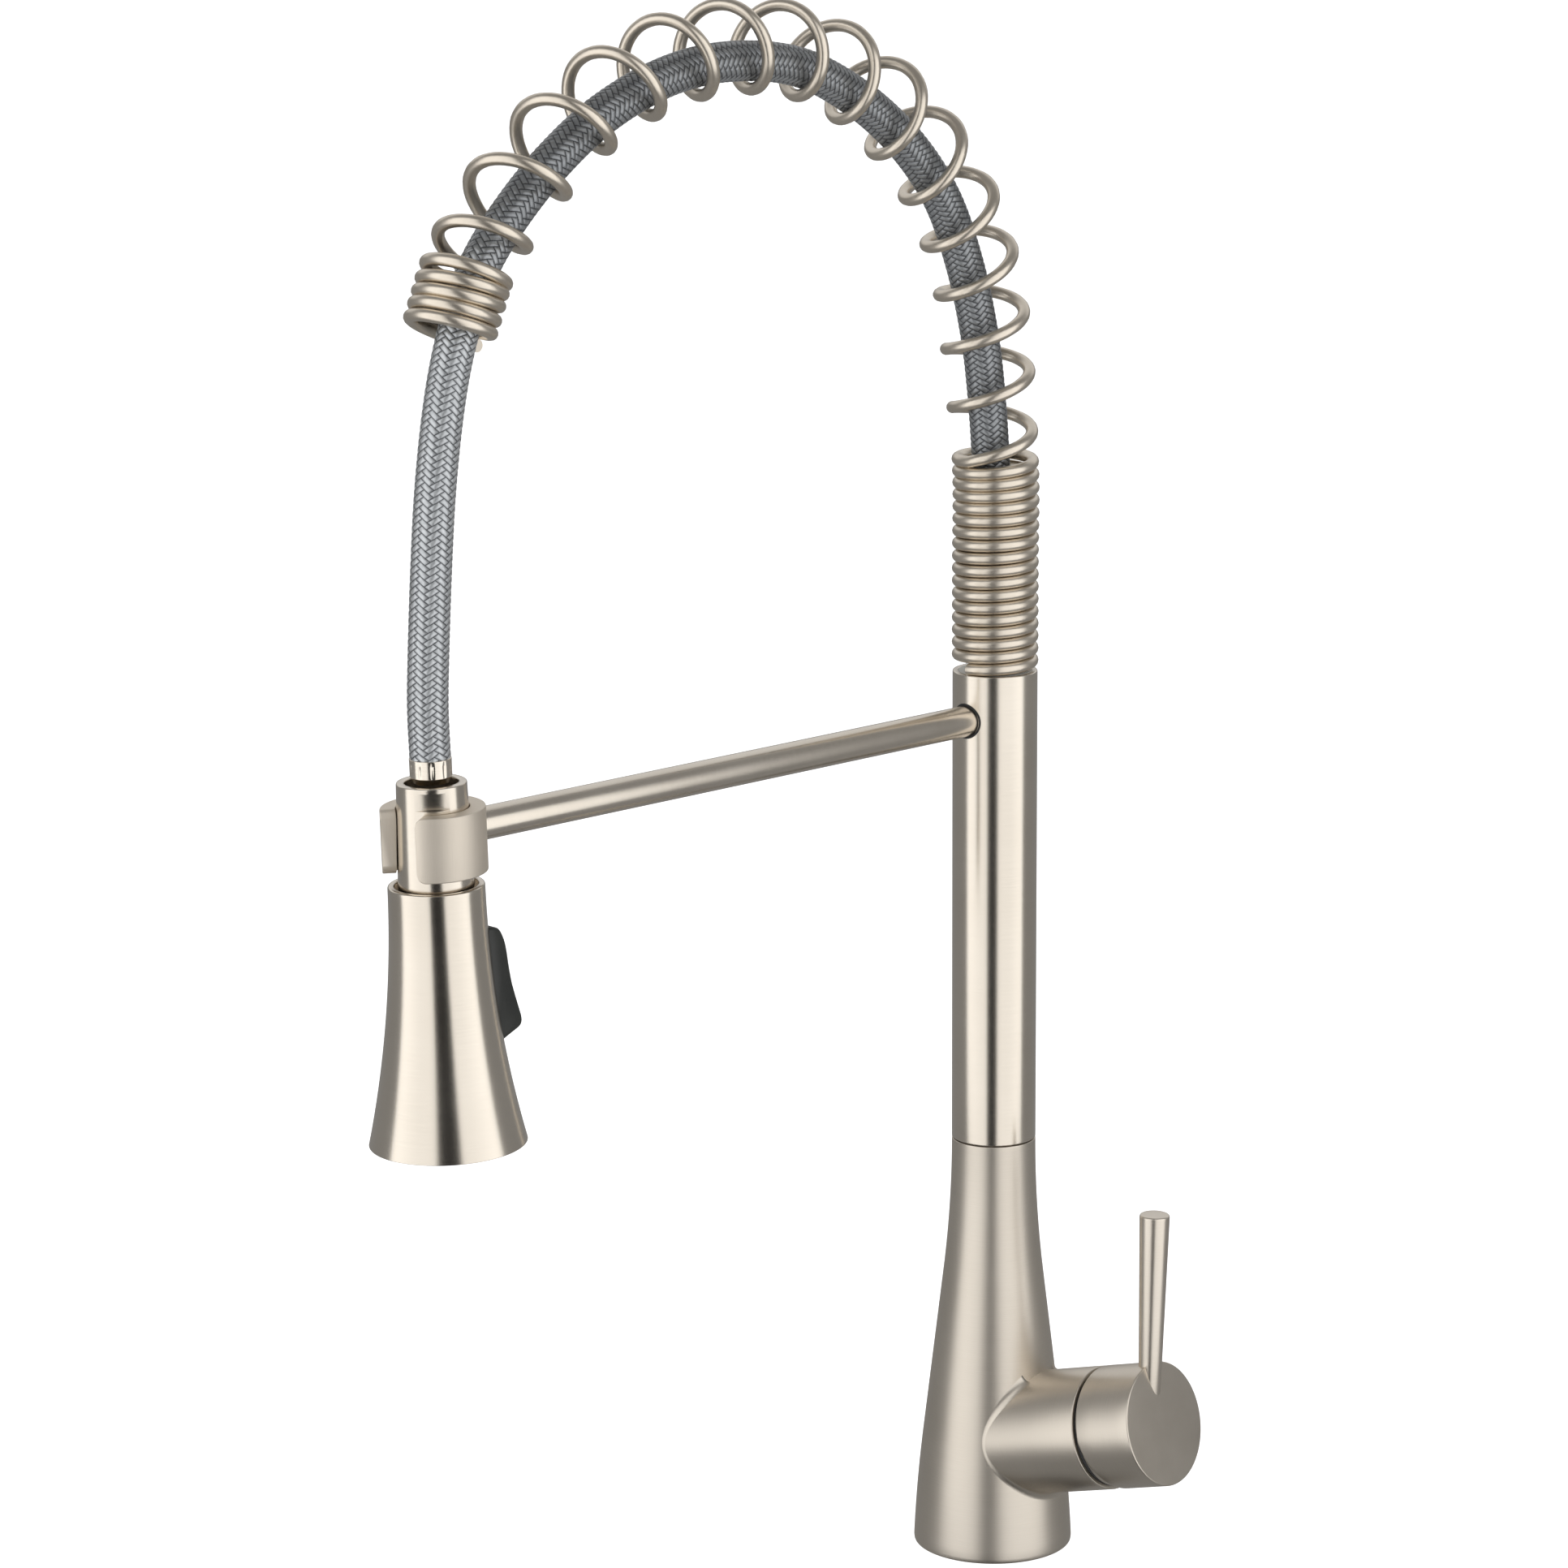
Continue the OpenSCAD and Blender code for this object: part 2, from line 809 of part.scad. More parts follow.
// Inner body that carries the water from the collar to the face
module spray_core() {
  color(white_plastic)
    head_frame()
      difference() {
        union() {
          post(core_r - 0.4, -40, collar_foot);
          post(core_r, -72, -39.5);
          post(10, -98, -71);
          post(18.9, mouth_z + face_inset + 4, -98);
        }
        post(4.6 + running_gap, collar_foot - 3, collar_foot + 1);
        post(3, -48, collar_foot);
        post(spool_r + running_gap, -90, -48);
        post(8, -106, -90);
        ring(18.3, 10.5, -106, -101);
        translate([-button_width / 2 - 0.4, 10.4, button_foot - 2])
          cube([button_width + 0.8, 12, button_top - button_foot + 3]);
        translate([-4.3, 0, toggle_pivot_z - 9])
          cube([8.6, 20, 18]);
        translate([0, toggle_pivot_y, toggle_pivot_z])
          rotate([0, 90, 0])
            cylinder(r = 1.2, h = 13, center = true, $fn = 48);
        ring(13, core_r - 1.4, -43.5, -41.5);
      }
}

module core_oring() {
  color(rubber)
    head_frame()
      oring(core_r + 1.1, 2.5, 2, -42.5);
}

module nozzle_places(r, count) {
  for (i = [0 : count - 1])
    rotate([0, 0, 360 / count * i])
      translate([r, 0, 0])
        children();
}

module spray_face() {
  color(black_plastic)
    head_frame()
      difference() {
        rotate_extrude($fn = 120)
          bell_section(shell_wall + 0.05, mouth_z + face_inset, mouth_z + face_inset + 4);
        post(9, mouth_z, -90);
        nozzle_places(17, nozzle_count)
          post(1.1, mouth_z, -90);
        nozzle_places(12.6, 12)
          post(1.1, mouth_z, -90);
      }
}

module spray_nozzles() {
  color(rubber)
    head_frame() {
      nozzle_places(17, nozzle_count)
        nozzle();
      nozzle_places(12.6, 12)
        nozzle();
    }
}

module nozzle() {
  difference() {
    union() {
      post(1.1, mouth_z + face_inset, mouth_z + face_inset + 4);
      translate([0, 0, mouth_z + face_inset - 2.2])
        cylinder(r1 = 0.8, r2 = 1.1, h = 2.2, $fn = 24);
    }
    post(0.4, mouth_z - 2, -90);
  }
}

module aerator() {
  color(white_plastic)
    head_frame()
      difference() {
        union() {
          post(9, mouth_z + face_inset, mouth_z + face_inset + 4);
          post(7.9, mouth_z + face_inset + 4, -98);
        }
        for (r = [2.8 : 2 : 6.8])
          ring(r + 0.6, r - 0.6, mouth_z, mouth_z + face_inset + 2);
        post(1.2, mouth_z, -97);
      }
}

module face_screw() {
  color(steel)
    head_frame()
      difference() {
        union() {
          post(1.2, mouth_z + face_inset, -98);
          post(1.6, mouth_z + face_inset - 1, mouth_z + face_inset);
        }
        post(0.7, mouth_z + face_inset - 2, mouth_z + face_inset + 0.2);
      }
}

// Rocker button with a hinge block behind it and a finger that drives the spool
module toggle_button() {
  color(black_plastic)
    head_frame()
      difference() {
        union() {
          translate([button_width / 2, 0, 0])
            rotate([0, -90, 0])
              linear_extrude(button_width)
                button_outline();
          translate([-4, 7, toggle_pivot_z - 4])
            cube([8, 6, 8]);
          translate([-2, 4, toggle_pivot_z - 5.6])
            cube([4, 8, 4.2]);
        }
        translate([0, toggle_pivot_y, toggle_pivot_z])
          rotate([0, 90, 0])
            cylinder(r = 1.2 + running_gap, h = 40, center = true, $fn = 48);
      }
}

// The button's side view as [height, distance from the head's axis]
module button_outline() {
  polygon([[-46, 12], [-46, 14.8], [-46.8, 16.8], [-48.3, 18], [-51, 19.1], [-54, 19.7], [-59, 20.3],
    [-64, 21.1], [-68, 22.2], [-72, 23.4], [-75, 24.3], [-76.5, 24.5], [-77.8, 24.2], [-78.8, 23.2],
    [-80.2, 19.5], [-81.8, 15.5], [-81.8, 13.4], [-76, 12.4], [-64, 11], [-52, 11]]);
}

module toggle_pin() {
  color(steel)
    head_frame()
      translate([0, toggle_pivot_y, toggle_pivot_z])
        rotate([0, 90, 0])
          cylinder(r = 1.2, h = 13, center = true, $fn = 48);
}

module diverter_spool() {
  color(brass)
    head_frame()
      difference() {
        post(spool_r, -84, -54);
        ring(spool_r + 1, 3, toggle_pivot_z - 6.6, toggle_pivot_z - 0.4);
        ring(spool_r + 1, spool_r - 1.2, -81, -79);
      }
}

module spool_oring() {
  color(rubber)
    head_frame()
      oring(spool_r, 1.2, 2, -80);
}

base_body();
deck_gasket();
mounting_shank();
rubber_washer();
steel_washer();
mounting_nut();
nut_screws();
swivel_orings();
swivel_clip();
valve_cartridge();
cartridge_seals();
retaining_nut();
branch_seal();
valve_dome();
column_tube();
swivel_bushing();
hose_fitting();
spring_seat();
support_spring();
dock_arm();
arm_seal();
dock_clip();
clip_screw();
spray_hose();
hose_ferrule();
hose_nipple();
nipple_orings();
dock_collar();
collar_clip();
spray_shell();
spray_core();
core_oring();
spray_face();
spray_nozzles();
aerator();
face_screw();
toggle_button();
toggle_pin();
diverter_spool();
spool_oring();
cartridge_turret();
stem_pin();
control_stem();
handle_hub();
lever_rod();
set_screw();
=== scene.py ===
"""Looks of the pull-down kitchen faucet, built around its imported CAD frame.

Sizes are in millimetres in the row frame (origin on the deck, +Z up, spray head towards -Y) and are
turned into metres only where a mesh is made. Shiny parts are lathed again at a higher resolution than
the CAD mesh; everything that is not replaced is a CAD node with its own procedural material.
"""

import json
import math

import bmesh
import bpy
import numpy as np
from mathutils import Matrix, Vector


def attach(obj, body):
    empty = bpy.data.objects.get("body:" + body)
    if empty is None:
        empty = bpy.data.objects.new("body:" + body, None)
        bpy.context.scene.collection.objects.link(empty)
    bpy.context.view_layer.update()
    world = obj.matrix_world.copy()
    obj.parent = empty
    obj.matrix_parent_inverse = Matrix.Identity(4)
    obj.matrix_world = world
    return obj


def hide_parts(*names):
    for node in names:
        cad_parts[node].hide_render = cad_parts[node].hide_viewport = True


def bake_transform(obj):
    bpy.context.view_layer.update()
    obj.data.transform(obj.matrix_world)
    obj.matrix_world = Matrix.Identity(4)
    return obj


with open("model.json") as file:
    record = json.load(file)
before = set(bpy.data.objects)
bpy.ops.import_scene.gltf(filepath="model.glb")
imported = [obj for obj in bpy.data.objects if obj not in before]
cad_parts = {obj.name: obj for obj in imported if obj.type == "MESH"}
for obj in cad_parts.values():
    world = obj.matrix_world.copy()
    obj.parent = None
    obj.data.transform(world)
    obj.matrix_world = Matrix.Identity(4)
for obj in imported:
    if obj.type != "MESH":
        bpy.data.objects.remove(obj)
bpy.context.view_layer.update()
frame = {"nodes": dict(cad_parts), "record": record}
NODES = frame["nodes"]
MM = 0.001

# Shapes shared with the CAD part
NECK_R, SEAM_Z, COLUMN_TOP = 13.7, 139.0, 295.0
VALVE_Z, VALVE_TURN, VALVE_TILT = 35.8, 8.0, 15.0
BRANCH_R, BRANCH_END, HUB_GAP, HUB_FACE, PIVOT = 20.15, 48.6, 1.4, 70.9, 44.0
DOME_R, DOME_START = 20.0, 49.8
REACH, HEAD_Z, HEAD_LEAN = 237.5, 295.8, 2.0
RIM_Z, MOUTH_Z, BELL_CURVE = -31.0, -110.4, 345.0
ARM_Z, CLIP_R, CLIP_TOP, CLIP_BOTTOM = 280.0, 15.6, -7.6, -27.1
HOSE_R, WIRE_R = 6.13, 1.97
SPRING_TURNS = 37
SPRING_ROUTE = [(0, 295), (0, 330), (0, 360), (-3, 390), (-8, 420), (-19, 446), (-36, 467.5), (-59, 486),
                (-86, 498), (-115, 501.5), (-143, 498.5), (-169, 489), (-190, 476), (-208, 460),
                (-219, 446), (-224.5, 434), (-229, 423.5)]
SPRING_PACE = [(0, 1.7), (17, 69.7), (21.5, 156), (31, 378), (32, 394), (37, 414)]
HOSE_ROUTE = [(0, 252), (0, 292), (-0.8, 330), (-2, 360), (-4.5, 386), (-8, 406), (-14.5, 427.5),
              (-24.5, 448.5), (-40, 466.5), (-61, 482), (-86, 493.4), (-114, 497.1), (-140, 494.6),
              (-165.4, 485.8), (-186.5, 473), (-203.8, 458.3), (-215.8, 444.3), (-222.5, 430.3),
              (-227.4, 416), (-231, 400), (-234, 380), (-236, 358), (-237.6, 334), (-238.268, 317.787),
              (-237.744, 302.796)]

VALVE = (Matrix.Translation((0, 0, VALVE_Z)) @ Matrix.Rotation(math.radians(VALVE_TURN), 4, "Z")
         @ Matrix.Rotation(math.radians(90 - VALVE_TILT), 4, "Y"))
HEAD = Matrix.Translation((0, -REACH, HEAD_Z)) @ Matrix.Rotation(math.radians(HEAD_LEAN), 4, "X")
LEVER = (Matrix.Rotation(math.radians(VALVE_TURN), 4, "Z") @ Matrix.Translation((62.8, 0, 73.8))
         @ Matrix.Rotation(math.radians(1.3), 4, "Y"))
UPRIGHT = Matrix.Identity(4)
CAMERA_AZIMUTH, CAMERA_ELEVATION, CAMERA_ROLL = 45.95, 12.67, -0.29


# ---------- camera ----------

def make_camera():
    """The camera, in front and to the right of the faucet, looking slightly down."""
    az, el, roll = (math.radians(a) for a in (CAMERA_AZIMUTH, CAMERA_ELEVATION, CAMERA_ROLL))
    forward = Vector((-math.sin(az) * math.cos(el), math.cos(az) * math.cos(el), -math.sin(el)))
    level = Vector((math.cos(az), math.sin(az), 0))
    rise = level.cross(forward)
    right = math.cos(roll) * level + math.sin(roll) * rise
    up = right.cross(forward)
    data = bpy.data.cameras.new("camera")
    data.sensor_width = 36
    data.lens = 126.13
    data.shift_x = -0.0093
    data.shift_y = 0.0048
    camera = bpy.data.objects.new("camera", data)
    bpy.context.scene.collection.objects.link(camera)
    turn = Matrix((right, up, -forward)).transposed().to_4x4()
    camera.matrix_world = Matrix.Translation((1.2011, -1.2501, 0.6445)) @ turn
    bpy.context.scene.camera = camera


make_camera()


# ---------- mesh helpers ----------

def add_mesh(name, verts, faces, material, body, replaces=(), slot="nickel", sharp=38, matrix=UPRIGHT):
    """A piece from points in mm, in the given frame, riding on a CAD body."""
    points = np.asarray(verts, float)
    turn = np.array(matrix)
    points = (points @ turn[:3, :3].T + turn[:3, 3]) * MM
    mesh = bpy.data.meshes.new(name)
    mesh.from_pydata(points.tolist(), [], faces)
    mesh.validate()
    b = bmesh.new()
    b.from_mesh(mesh)
    bmesh.ops.recalc_face_normals(b, faces=b.faces)
    b.to_mesh(mesh)
    b.free()
    mesh.polygons.foreach_set("use_smooth", [True] * len(mesh.polygons))
    if sharp:
        mesh.set_sharp_from_angle(angle=math.radians(sharp))
    mesh.materials.append(material)
    obj = bpy.data.objects.new(name, mesh)
    bpy.context.scene.collection.objects.link(obj)
    if body:
        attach(obj, body)
    if replaces:
        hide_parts(*replaces)
    return obj


def rounded(corners, closed=False, steps=5):
    """Points (r, z) along a line whose corners (r, z, radius) are rounded with arcs."""
    out = []
    count = len(corners)
    for i, (x, y, radius) in enumerate(corners):
        here = np.array((x, y), float)
        if radius <= 0 or (not closed and i in (0, count - 1)):
            out.append(tuple(here))
            continue
        before = np.array(corners[i - 1][:2], float) - here
        after = np.array(corners[(i + 1) % count][:2], float) - here
        room = min(np.linalg.norm(before), np.linalg.norm(after)) * 0.49
        before, after = before / np.linalg.norm(before), after / np.linalg.norm(after)
        half = math.acos(max(-1.0, min(1.0, float(before @ after)))) / 2
        cut = min(radius / math.tan(half), room)
        start, end = here + cut * before, here + cut * after
        for k in range(steps + 1):
            t = k / steps
            out.append(tuple((1 - t) ** 2 * start + 2 * t * (1 - t) * here + t * t * end))
    return out


def lathe_mesh(profile, sides=128, closed=False, shape=None):
    """Points and faces of a profile of (r, z) turned round the z axis. shape may move the points."""
    verts, rings = [], []
    angles = np.arange(sides) * 2 * math.pi / sides
    for r, z in profile:
        if r < 1e-6:
            rings.append([len(verts)])
            verts.append((0.0, 0.0, z))
            continue
        rings.append(list(range(len(verts), len(verts) + sides)))
        verts.extend((r * math.cos(a), r * math.sin(a), z) for a in angles)
    faces = []
    pairs = list(zip(rings, rings[1:]))
    if closed:
        pairs.append((rings[-1], rings[0]))
    for low, high in pairs:
        for j in range(sides):
            k = (j + 1) % sides
            ring = [low[j % len(low)], low[k % len(low)], high[k % len(high)], high[j % len(high)]]
            face = list(dict.fromkeys(ring))
            if len(face) > 2:
                faces.append(face)
    points = np.array(verts, float)
    return (shape(points) if shape else points), faces


def lathe(name, profile, material, body, matrix=UPRIGHT, sides=128, closed=False, shape=None, **more):
    points, faces = lathe_mesh(profile, sides, closed, shape)
    return add_mesh(name, points, faces, material, body, matrix=matrix, **more)


def tube_mesh(centres, side_a, side_b, radii, sides):
    """Points and faces of a closed tube: rings of the given radii in the planes of side_a and side_b."""
    angle = np.arange(sides) * 2 * math.pi / sides
    ring = (np.cos(angle)[None, :, None] * side_a[:, None, :]
            + np.sin(angle)[None, :, None] * side_b[:, None, :])
    points = (centres[:, None, :] + np.asarray(radii, float).reshape(-1, 1, 1) * ring).reshape(-1, 3)
    count = len(centres)
    faces = []
    for i in range(count - 1):
        a, b = i * sides, (i + 1) * sides
        faces.extend((a + j, a + (j + 1) % sides, b + (j + 1) % sides, b + j) for j in range(sides))
    faces.append(tuple(range(sides - 1, -1, -1)))
    faces.append(tuple((count - 1) * sides + j for j in range(sides)))
    return points, faces


def curve_point(points, t):
    """Points of the smooth curve through the given points, at parameters t. The CAD part uses the same."""
    p = np.asarray(points, float)
    p = np.vstack([2 * p[0] - p[1], p, 2 * p[-1] - p[-2]])
    t = np.atleast_1d(np.asarray(t, float))
    i = np.minimum(np.floor(t).astype(int), len(p) - 4)
    u = (t - i)[:, None]
    a, b, c, d = p[i], p[i + 1], p[i + 2], p[i + 3]
    return 0.5 * (2 * b + (c - a) * u + (2 * a - 5 * b + 4 * c - d) * u**2 + (3 * b - a - 3 * c + d) * u**3)


def by_length(points, fine=40):
    """Even spacing along a route: its table of (distance, parameter)."""
    t = np.linspace(0, len(points) - 1, (len(points) - 1) * fine + 1)
    places = curve_point(points, t)
    steps = np.linalg.norm(np.diff(places, axis=0), axis=1)
    return np.concatenate([[0], np.cumsum(steps)]), t


def unit(v):
    return v / np.linalg.norm(v, axis=-1, keepdims=True)


# ---------- materials ----------

class Nodes:
    """A new material with a Principled shader, and short ways to add nodes to it."""

    def __init__(self, name, **sockets):
        self.material = bpy.data.materials.new(name)
        self.material.use_nodes = True
        self.tree = self.material.node_tree
        self.shader = self.tree.nodes["Principled BSDF"]
        for socket, value in sockets.items():
            self.shader.inputs[socket.replace("_", " ")].default_value = value

    def add(self, kind, **settings):
        node = self.tree.nodes.new(kind)
        for key, value in settings.items():
            if key in node.inputs:
                node.inputs[key].default_value = value
            else:
                setattr(node, key, value)
        return node

    def link(self, source, target):
        self.tree.links.new(source, target)

    def math(self, operation, first, second=None):
        node = self.add("ShaderNodeMath", operation=operation)
        for socket, value in zip(node.inputs, (first, second)):
            if value is None:
                continue
            if isinstance(value, (int, float)):
                socket.default_value = value
            else:
                self.link(value, socket)
        return node.outputs[0]

    def grain(self, across, along=(0, 0, 0)):
        """Coordinates that run in streaks: across holds the stretch of each axis of the turned frame."""
        place = self.add("ShaderNodeTexCoord")
        mapping = self.add("ShaderNodeMapping", vector_type="TEXTURE")
        mapping.inputs["Rotation"].default_value = along
        mapping.inputs["Scale"].default_value = across
        self.link(place.outputs["Object"], mapping.inputs["Vector"])
        return mapping.outputs["Vector"]

    def noise(self, vector, scale, detail=3.0, roughness=0.6):
        node = self.add("ShaderNodeTexNoise")
        node.inputs["Scale"].default_value = scale
        node.inputs["Detail"].default_value = detail
        node.inputs["Roughness"].default_value = roughness
        if vector is not None:
            self.link(vector, node.inputs["Vector"])
        return node.outputs["Fac"]

    def ramp(self, factor, stops):
        node = self.add("ShaderNodeValToRGB")
        node.color_ramp.elements[0].position = stops[0][0]
        node.color_ramp.elements[0].color = (*stops[0][1], 1)
        node.color_ramp.elements[1].position = stops[-1][0]
        node.color_ramp.elements[1].color = (*stops[-1][1], 1)
        for place, colour in stops[1:-1]:
            node.color_ramp.elements.new(place).color = (*colour, 1)
        self.link(factor, node.inputs["Fac"])
        return node.outputs["Color"]

    def span(self, factor, low, high):
        node = self.add("ShaderNodeMapRange")
        node.inputs["To Min"].default_value = low
        node.inputs["To Max"].default_value = high
        self.link(factor, node.inputs["Value"])
        return node.outputs["Result"]

    def bump(self, height, strength, distance):
        node = self.add("ShaderNodeBump")
        node.inputs["Strength"].default_value = strength
        node.inputs["Distance"].default_value = distance
        self.link(height, node.inputs["Height"])
        self.link(node.outputs["Normal"], self.shader.inputs["Normal"])


ROUND_Z = (4, 4, 0.05)
ALONG_Z = (0.05, 0.05, 4)
ROUND_Y = (4, 0.05, 4)


def nickel(name, streak=ROUND_Z, turn=(0, 0, 0), rough=0.24, tone=(1, 1, 1), relief=0.12):
    """Warm brushed nickel. streak says how far the brush lines run along each axis of the turned frame."""
    m = Nodes(name, Metallic=1.0)
    lines = m.noise(m.grain(streak, turn), 400, 4)
    clouds = m.noise(m.grain((1, 1, 1)), 30, 2)
    mixed = m.math("ADD", m.math("MULTIPLY", lines, 0.5), m.math("MULTIPLY", clouds, 0.5))
    dark = (0.73 * tone[0], 0.665 * tone[1], 0.575 * tone[2])
    light = (0.79 * tone[0], 0.725 * tone[1], 0.635 * tone[2])
    m.link(m.ramp(mixed, [(0.35, dark), (0.65, light)]), m.shader.inputs["Base Color"])
    m.link(m.span(mixed, rough - 0.05, rough + 0.05), m.shader.inputs["Roughness"])
    m.bump(lines, relief, 0.00004)
    return m.material


def plain_metal(name, dark, light, rough):
    """Machined or stamped metal with fine turning marks."""
    m = Nodes(name, Metallic=1.0)
    marks = m.noise(m.grain((1, 1, 0.03)), 60, 4)
    m.link(m.ramp(marks, [(0.3, dark), (0.7, light)]), m.shader.inputs["Base Color"])
    m.link(m.span(marks, rough - 0.06, rough + 0.06), m.shader.inputs["Roughness"])
    m.bump(marks, 0.08, 0.0002)
    return m.material


def moulded(name, dark, light, rough):
    """Moulded plastic or rubber with a fine skin texture."""
    m = Nodes(name)
    skin = m.noise(m.grain((1, 1, 1)), 900, 3)
    wide = m.noise(m.grain((1, 1, 1)), 40, 2)
    m.link(m.ramp(wide, [(0.3, dark), (0.7, light)]), m.shader.inputs["Base Color"])
    m.link(m.span(skin, rough - 0.06, rough + 0.08), m.shader.inputs["Roughness"])
    m.bump(skin, 0.12, 0.0001)
    return m.material


BRAID_PITCH, BRAID_COLUMNS = 2.07, 12
# Painted shade: the braid's colour darkens inside the spring: V where the tone starts and stops to change,
# and both tones
BRAID_PAINTED_SHADE = (196, 212, 0.62, 1.0)


def braid_material():
    """Flat bundles of steel wire in a two-over, two-under braid, drawn on the hose's UV map.

    U counts the braid's columns round the hose and V counts strand widths along it. The colour holds
    painted shade: near black where strands meet and dive under, stripes across each wire, and darker inside
    the spring.
    """
    m = Nodes("braid", Metallic=0.75)
    uv = m.add("ShaderNodeTexCoord").outputs["UV"]
    split = m.add("ShaderNodeSeparateXYZ")
    m.link(uv, split.inputs[0])
    a = m.math("SUBTRACT", split.outputs["Y"], split.outputs["X"])
    b = m.math("ADD", split.outputs["Y"], split.outputs["X"])
    cell_a, cell_b = m.math("FLOOR", a), m.math("FLOOR", b)
    part_a, part_b = m.math("SUBTRACT", a, cell_a), m.math("SUBTRACT", b, cell_b)
    order = m.math("FLOORED_MODULO", m.math("SUBTRACT", cell_b, cell_a), 4)
    a_on_top = m.math("LESS_THAN", order, 1.5)

    def choose(yes, no):
        return m.math("ADD", m.math("MULTIPLY", a_on_top, yes),
                      m.math("MULTIPLY", m.math("SUBTRACT", 1.0, a_on_top), no))

    across = choose(part_a, part_b)
    along = choose(m.math("ADD", part_b, order),
                   m.math("ADD", part_a, m.math("SUBTRACT", 3.0, order)))
    edge = m.math("MULTIPLY", m.math("ABSOLUTE", m.math("SUBTRACT", across, 0.5)), 2)
    end = m.math("ABSOLUTE", m.math("SUBTRACT", along, 1.0))
    # painted shade: the colour goes near black at a strand's edges and where it dives under; the same
    # profile also sets the bump
    gap_shade_and_depth = m.math("MAXIMUM", m.math("POWER", edge, 5), m.math("POWER", end, 8))
    # stripes of painted shade across the round wires of each strand; the speckle is random tone
    wires = m.math("PINGPONG", m.math("MULTIPLY", across, 7), 0.5)
    speckle = m.noise(m.grain((1, 1, 1)), 700, 3)
    shade = m.math("ADD", m.math("MULTIPLY", wires, 0.35), m.math("MULTIPLY", speckle, 0.5))
    lit = m.math("MULTIPLY", m.math("SUBTRACT", 1.0, gap_shade_and_depth), m.math("ADD", shade, 0.55))
    colours = [(0.0, (0.02, 0.02, 0.022)), (0.35, (0.17, 0.178, 0.187)), (0.75, (0.43, 0.445, 0.46)),
               (1.0, (0.62, 0.64, 0.655))]
    # painted shade: the colour is multiplied by 0.62 inside the spring, rising to full after it
    free = m.add("ShaderNodeMapRange")
    for key, value in zip(("From Min", "From Max", "To Min", "To Max"), BRAID_PAINTED_SHADE):
        free.inputs[key].default_value = value
    m.link(split.outputs["Y"], free.inputs["Value"])
    shaded = m.math("MULTIPLY", lit, free.outputs["Result"])
    m.link(m.ramp(shaded, colours), m.shader.inputs["Base Color"])
    m.link(m.span(wires, 0.34, 0.46), m.shader.inputs["Roughness"])
    m.bump(m.math("ADD", m.math("SUBTRACT", 1.0, gap_shade_and_depth), m.math("MULTIPLY", wires, 0.15)), 0.45, 0.0002)
    return m.material


VALVE_FRAME = (0, math.radians(90 - VALVE_TILT), math.radians(VALVE_TURN))
NICKEL_UPRIGHT = nickel("nickel_turned", rough=0.22, relief=0.05)
NICKEL_BODY = nickel("nickel_body", rough=0.38, tone=(0.95, 0.95, 0.95))
NICKEL_HEAD = nickel("nickel_head", rough=0.21, relief=0.08)
NICKEL_CLIP = nickel("nickel_clip", ALONG_Z, rough=0.56, tone=(1.08, 1.08, 1.08), relief=0.3)
NICKEL_ARM = nickel("nickel_arm", ROUND_Y, rough=0.24, relief=0.04)
NICKEL_VALVE = nickel("nickel_valve", turn=VALVE_FRAME, rough=0.36, tone=(0.95, 0.95, 0.95), relief=0.05)
NICKEL_LEVER = nickel("nickel_lever", rough=0.33, relief=0.06)
NICKEL_WIRE = nickel("nickel_wire", (0.5, 0.5, 0.5), rough=0.33, tone=(1.0, 0.99, 0.97))
NICKEL_BRIGHT = nickel("nickel_bright", rough=0.2, tone=(1.08, 1.08, 1.08))
BRASS = plain_metal("brass", (0.62, 0.44, 0.18), (0.78, 0.60, 0.30), 0.3)
STEEL = plain_metal("steel", (0.48, 0.48, 0.49), (0.66, 0.66, 0.67), 0.3)
RUBBER = moulded("rubber", (0.012, 0.012, 0.012), (0.03, 0.03, 0.03), 0.62)
BLACK = moulded("black_plastic", (0.010, 0.011, 0.010), (0.022, 0.024, 0.021), 0.34)
WHITE = moulded("white_plastic", (0.74, 0.74, 0.71), (0.84, 0.84, 0.81), 0.4)
BRAID = braid_material()
BY_SLOT = {"nickel": NICKEL_UPRIGHT, "brass": BRASS, "steel": STEEL, "rubber": RUBBER,
           "black_plastic": BLACK, "white_plastic": WHITE, "braid": BRAID}


# ---------- hose ----------

def braid_height(u, v):
    """How far the braid's surface stands out, from 0 in its gaps to 1, at U and V of its pattern."""
    a, b = v - u, v + u
    cell_a, cell_b = np.floor(a), np.floor(b)
    order = np.mod(cell_b - cell_a, 4)
    on_top = order < 1.5
    across = np.where(on_top, a - cell_a, b - cell_b)
    along = np.where(on_top, b - cell_b + order, a - cell_a + 3 - order)
    edge = np.abs(across - 0.5) * 2
    end = np.abs(along - 1)
    return (1 - edge**4) * (1 - 0.8 * end**4)


# Hose mesh: sides round it, spacing of its rings along it (mm), depth of the braid's relief (mm) and where
# the braid's columns start in U
HOSE_SIDES, HOSE_RING_EVERY, BRAID_DEPTH, BRAID_START = 84, 0.42, 0.3, 0.45


def braid_uv(mesh, v_of_row):
    """Lays the braid's UV map on the hose: columns round it, unbroken over the seam, and v along it."""
    loop_vertex = np.empty(len(mesh.loops), int)
    mesh.loops.foreach_get("vertex_index", loop_vertex)
    columns, rows = loop_vertex % HOSE_SIDES, loop_vertex // HOSE_SIDES
    wrap = np.zeros(len(loop_vertex))
    for polygon in mesh.polygons:
        first, size = polygon.loop_start, polygon.loop_total
        own = columns[first:first + size]
        if own.max() - own.min() > HOSE_SIDES / 2:
            wrap[first:first + size] = np.where(own < HOSE_SIDES / 2, BRAID_COLUMNS, 0)
    uv = np.column_stack([columns / HOSE_SIDES * BRAID_COLUMNS + wrap + BRAID_START, v_of_row[rows]])
    mesh.uv_layers.new(name="braid").data.foreach_set("uv", uv.astype(np.float32).ravel())


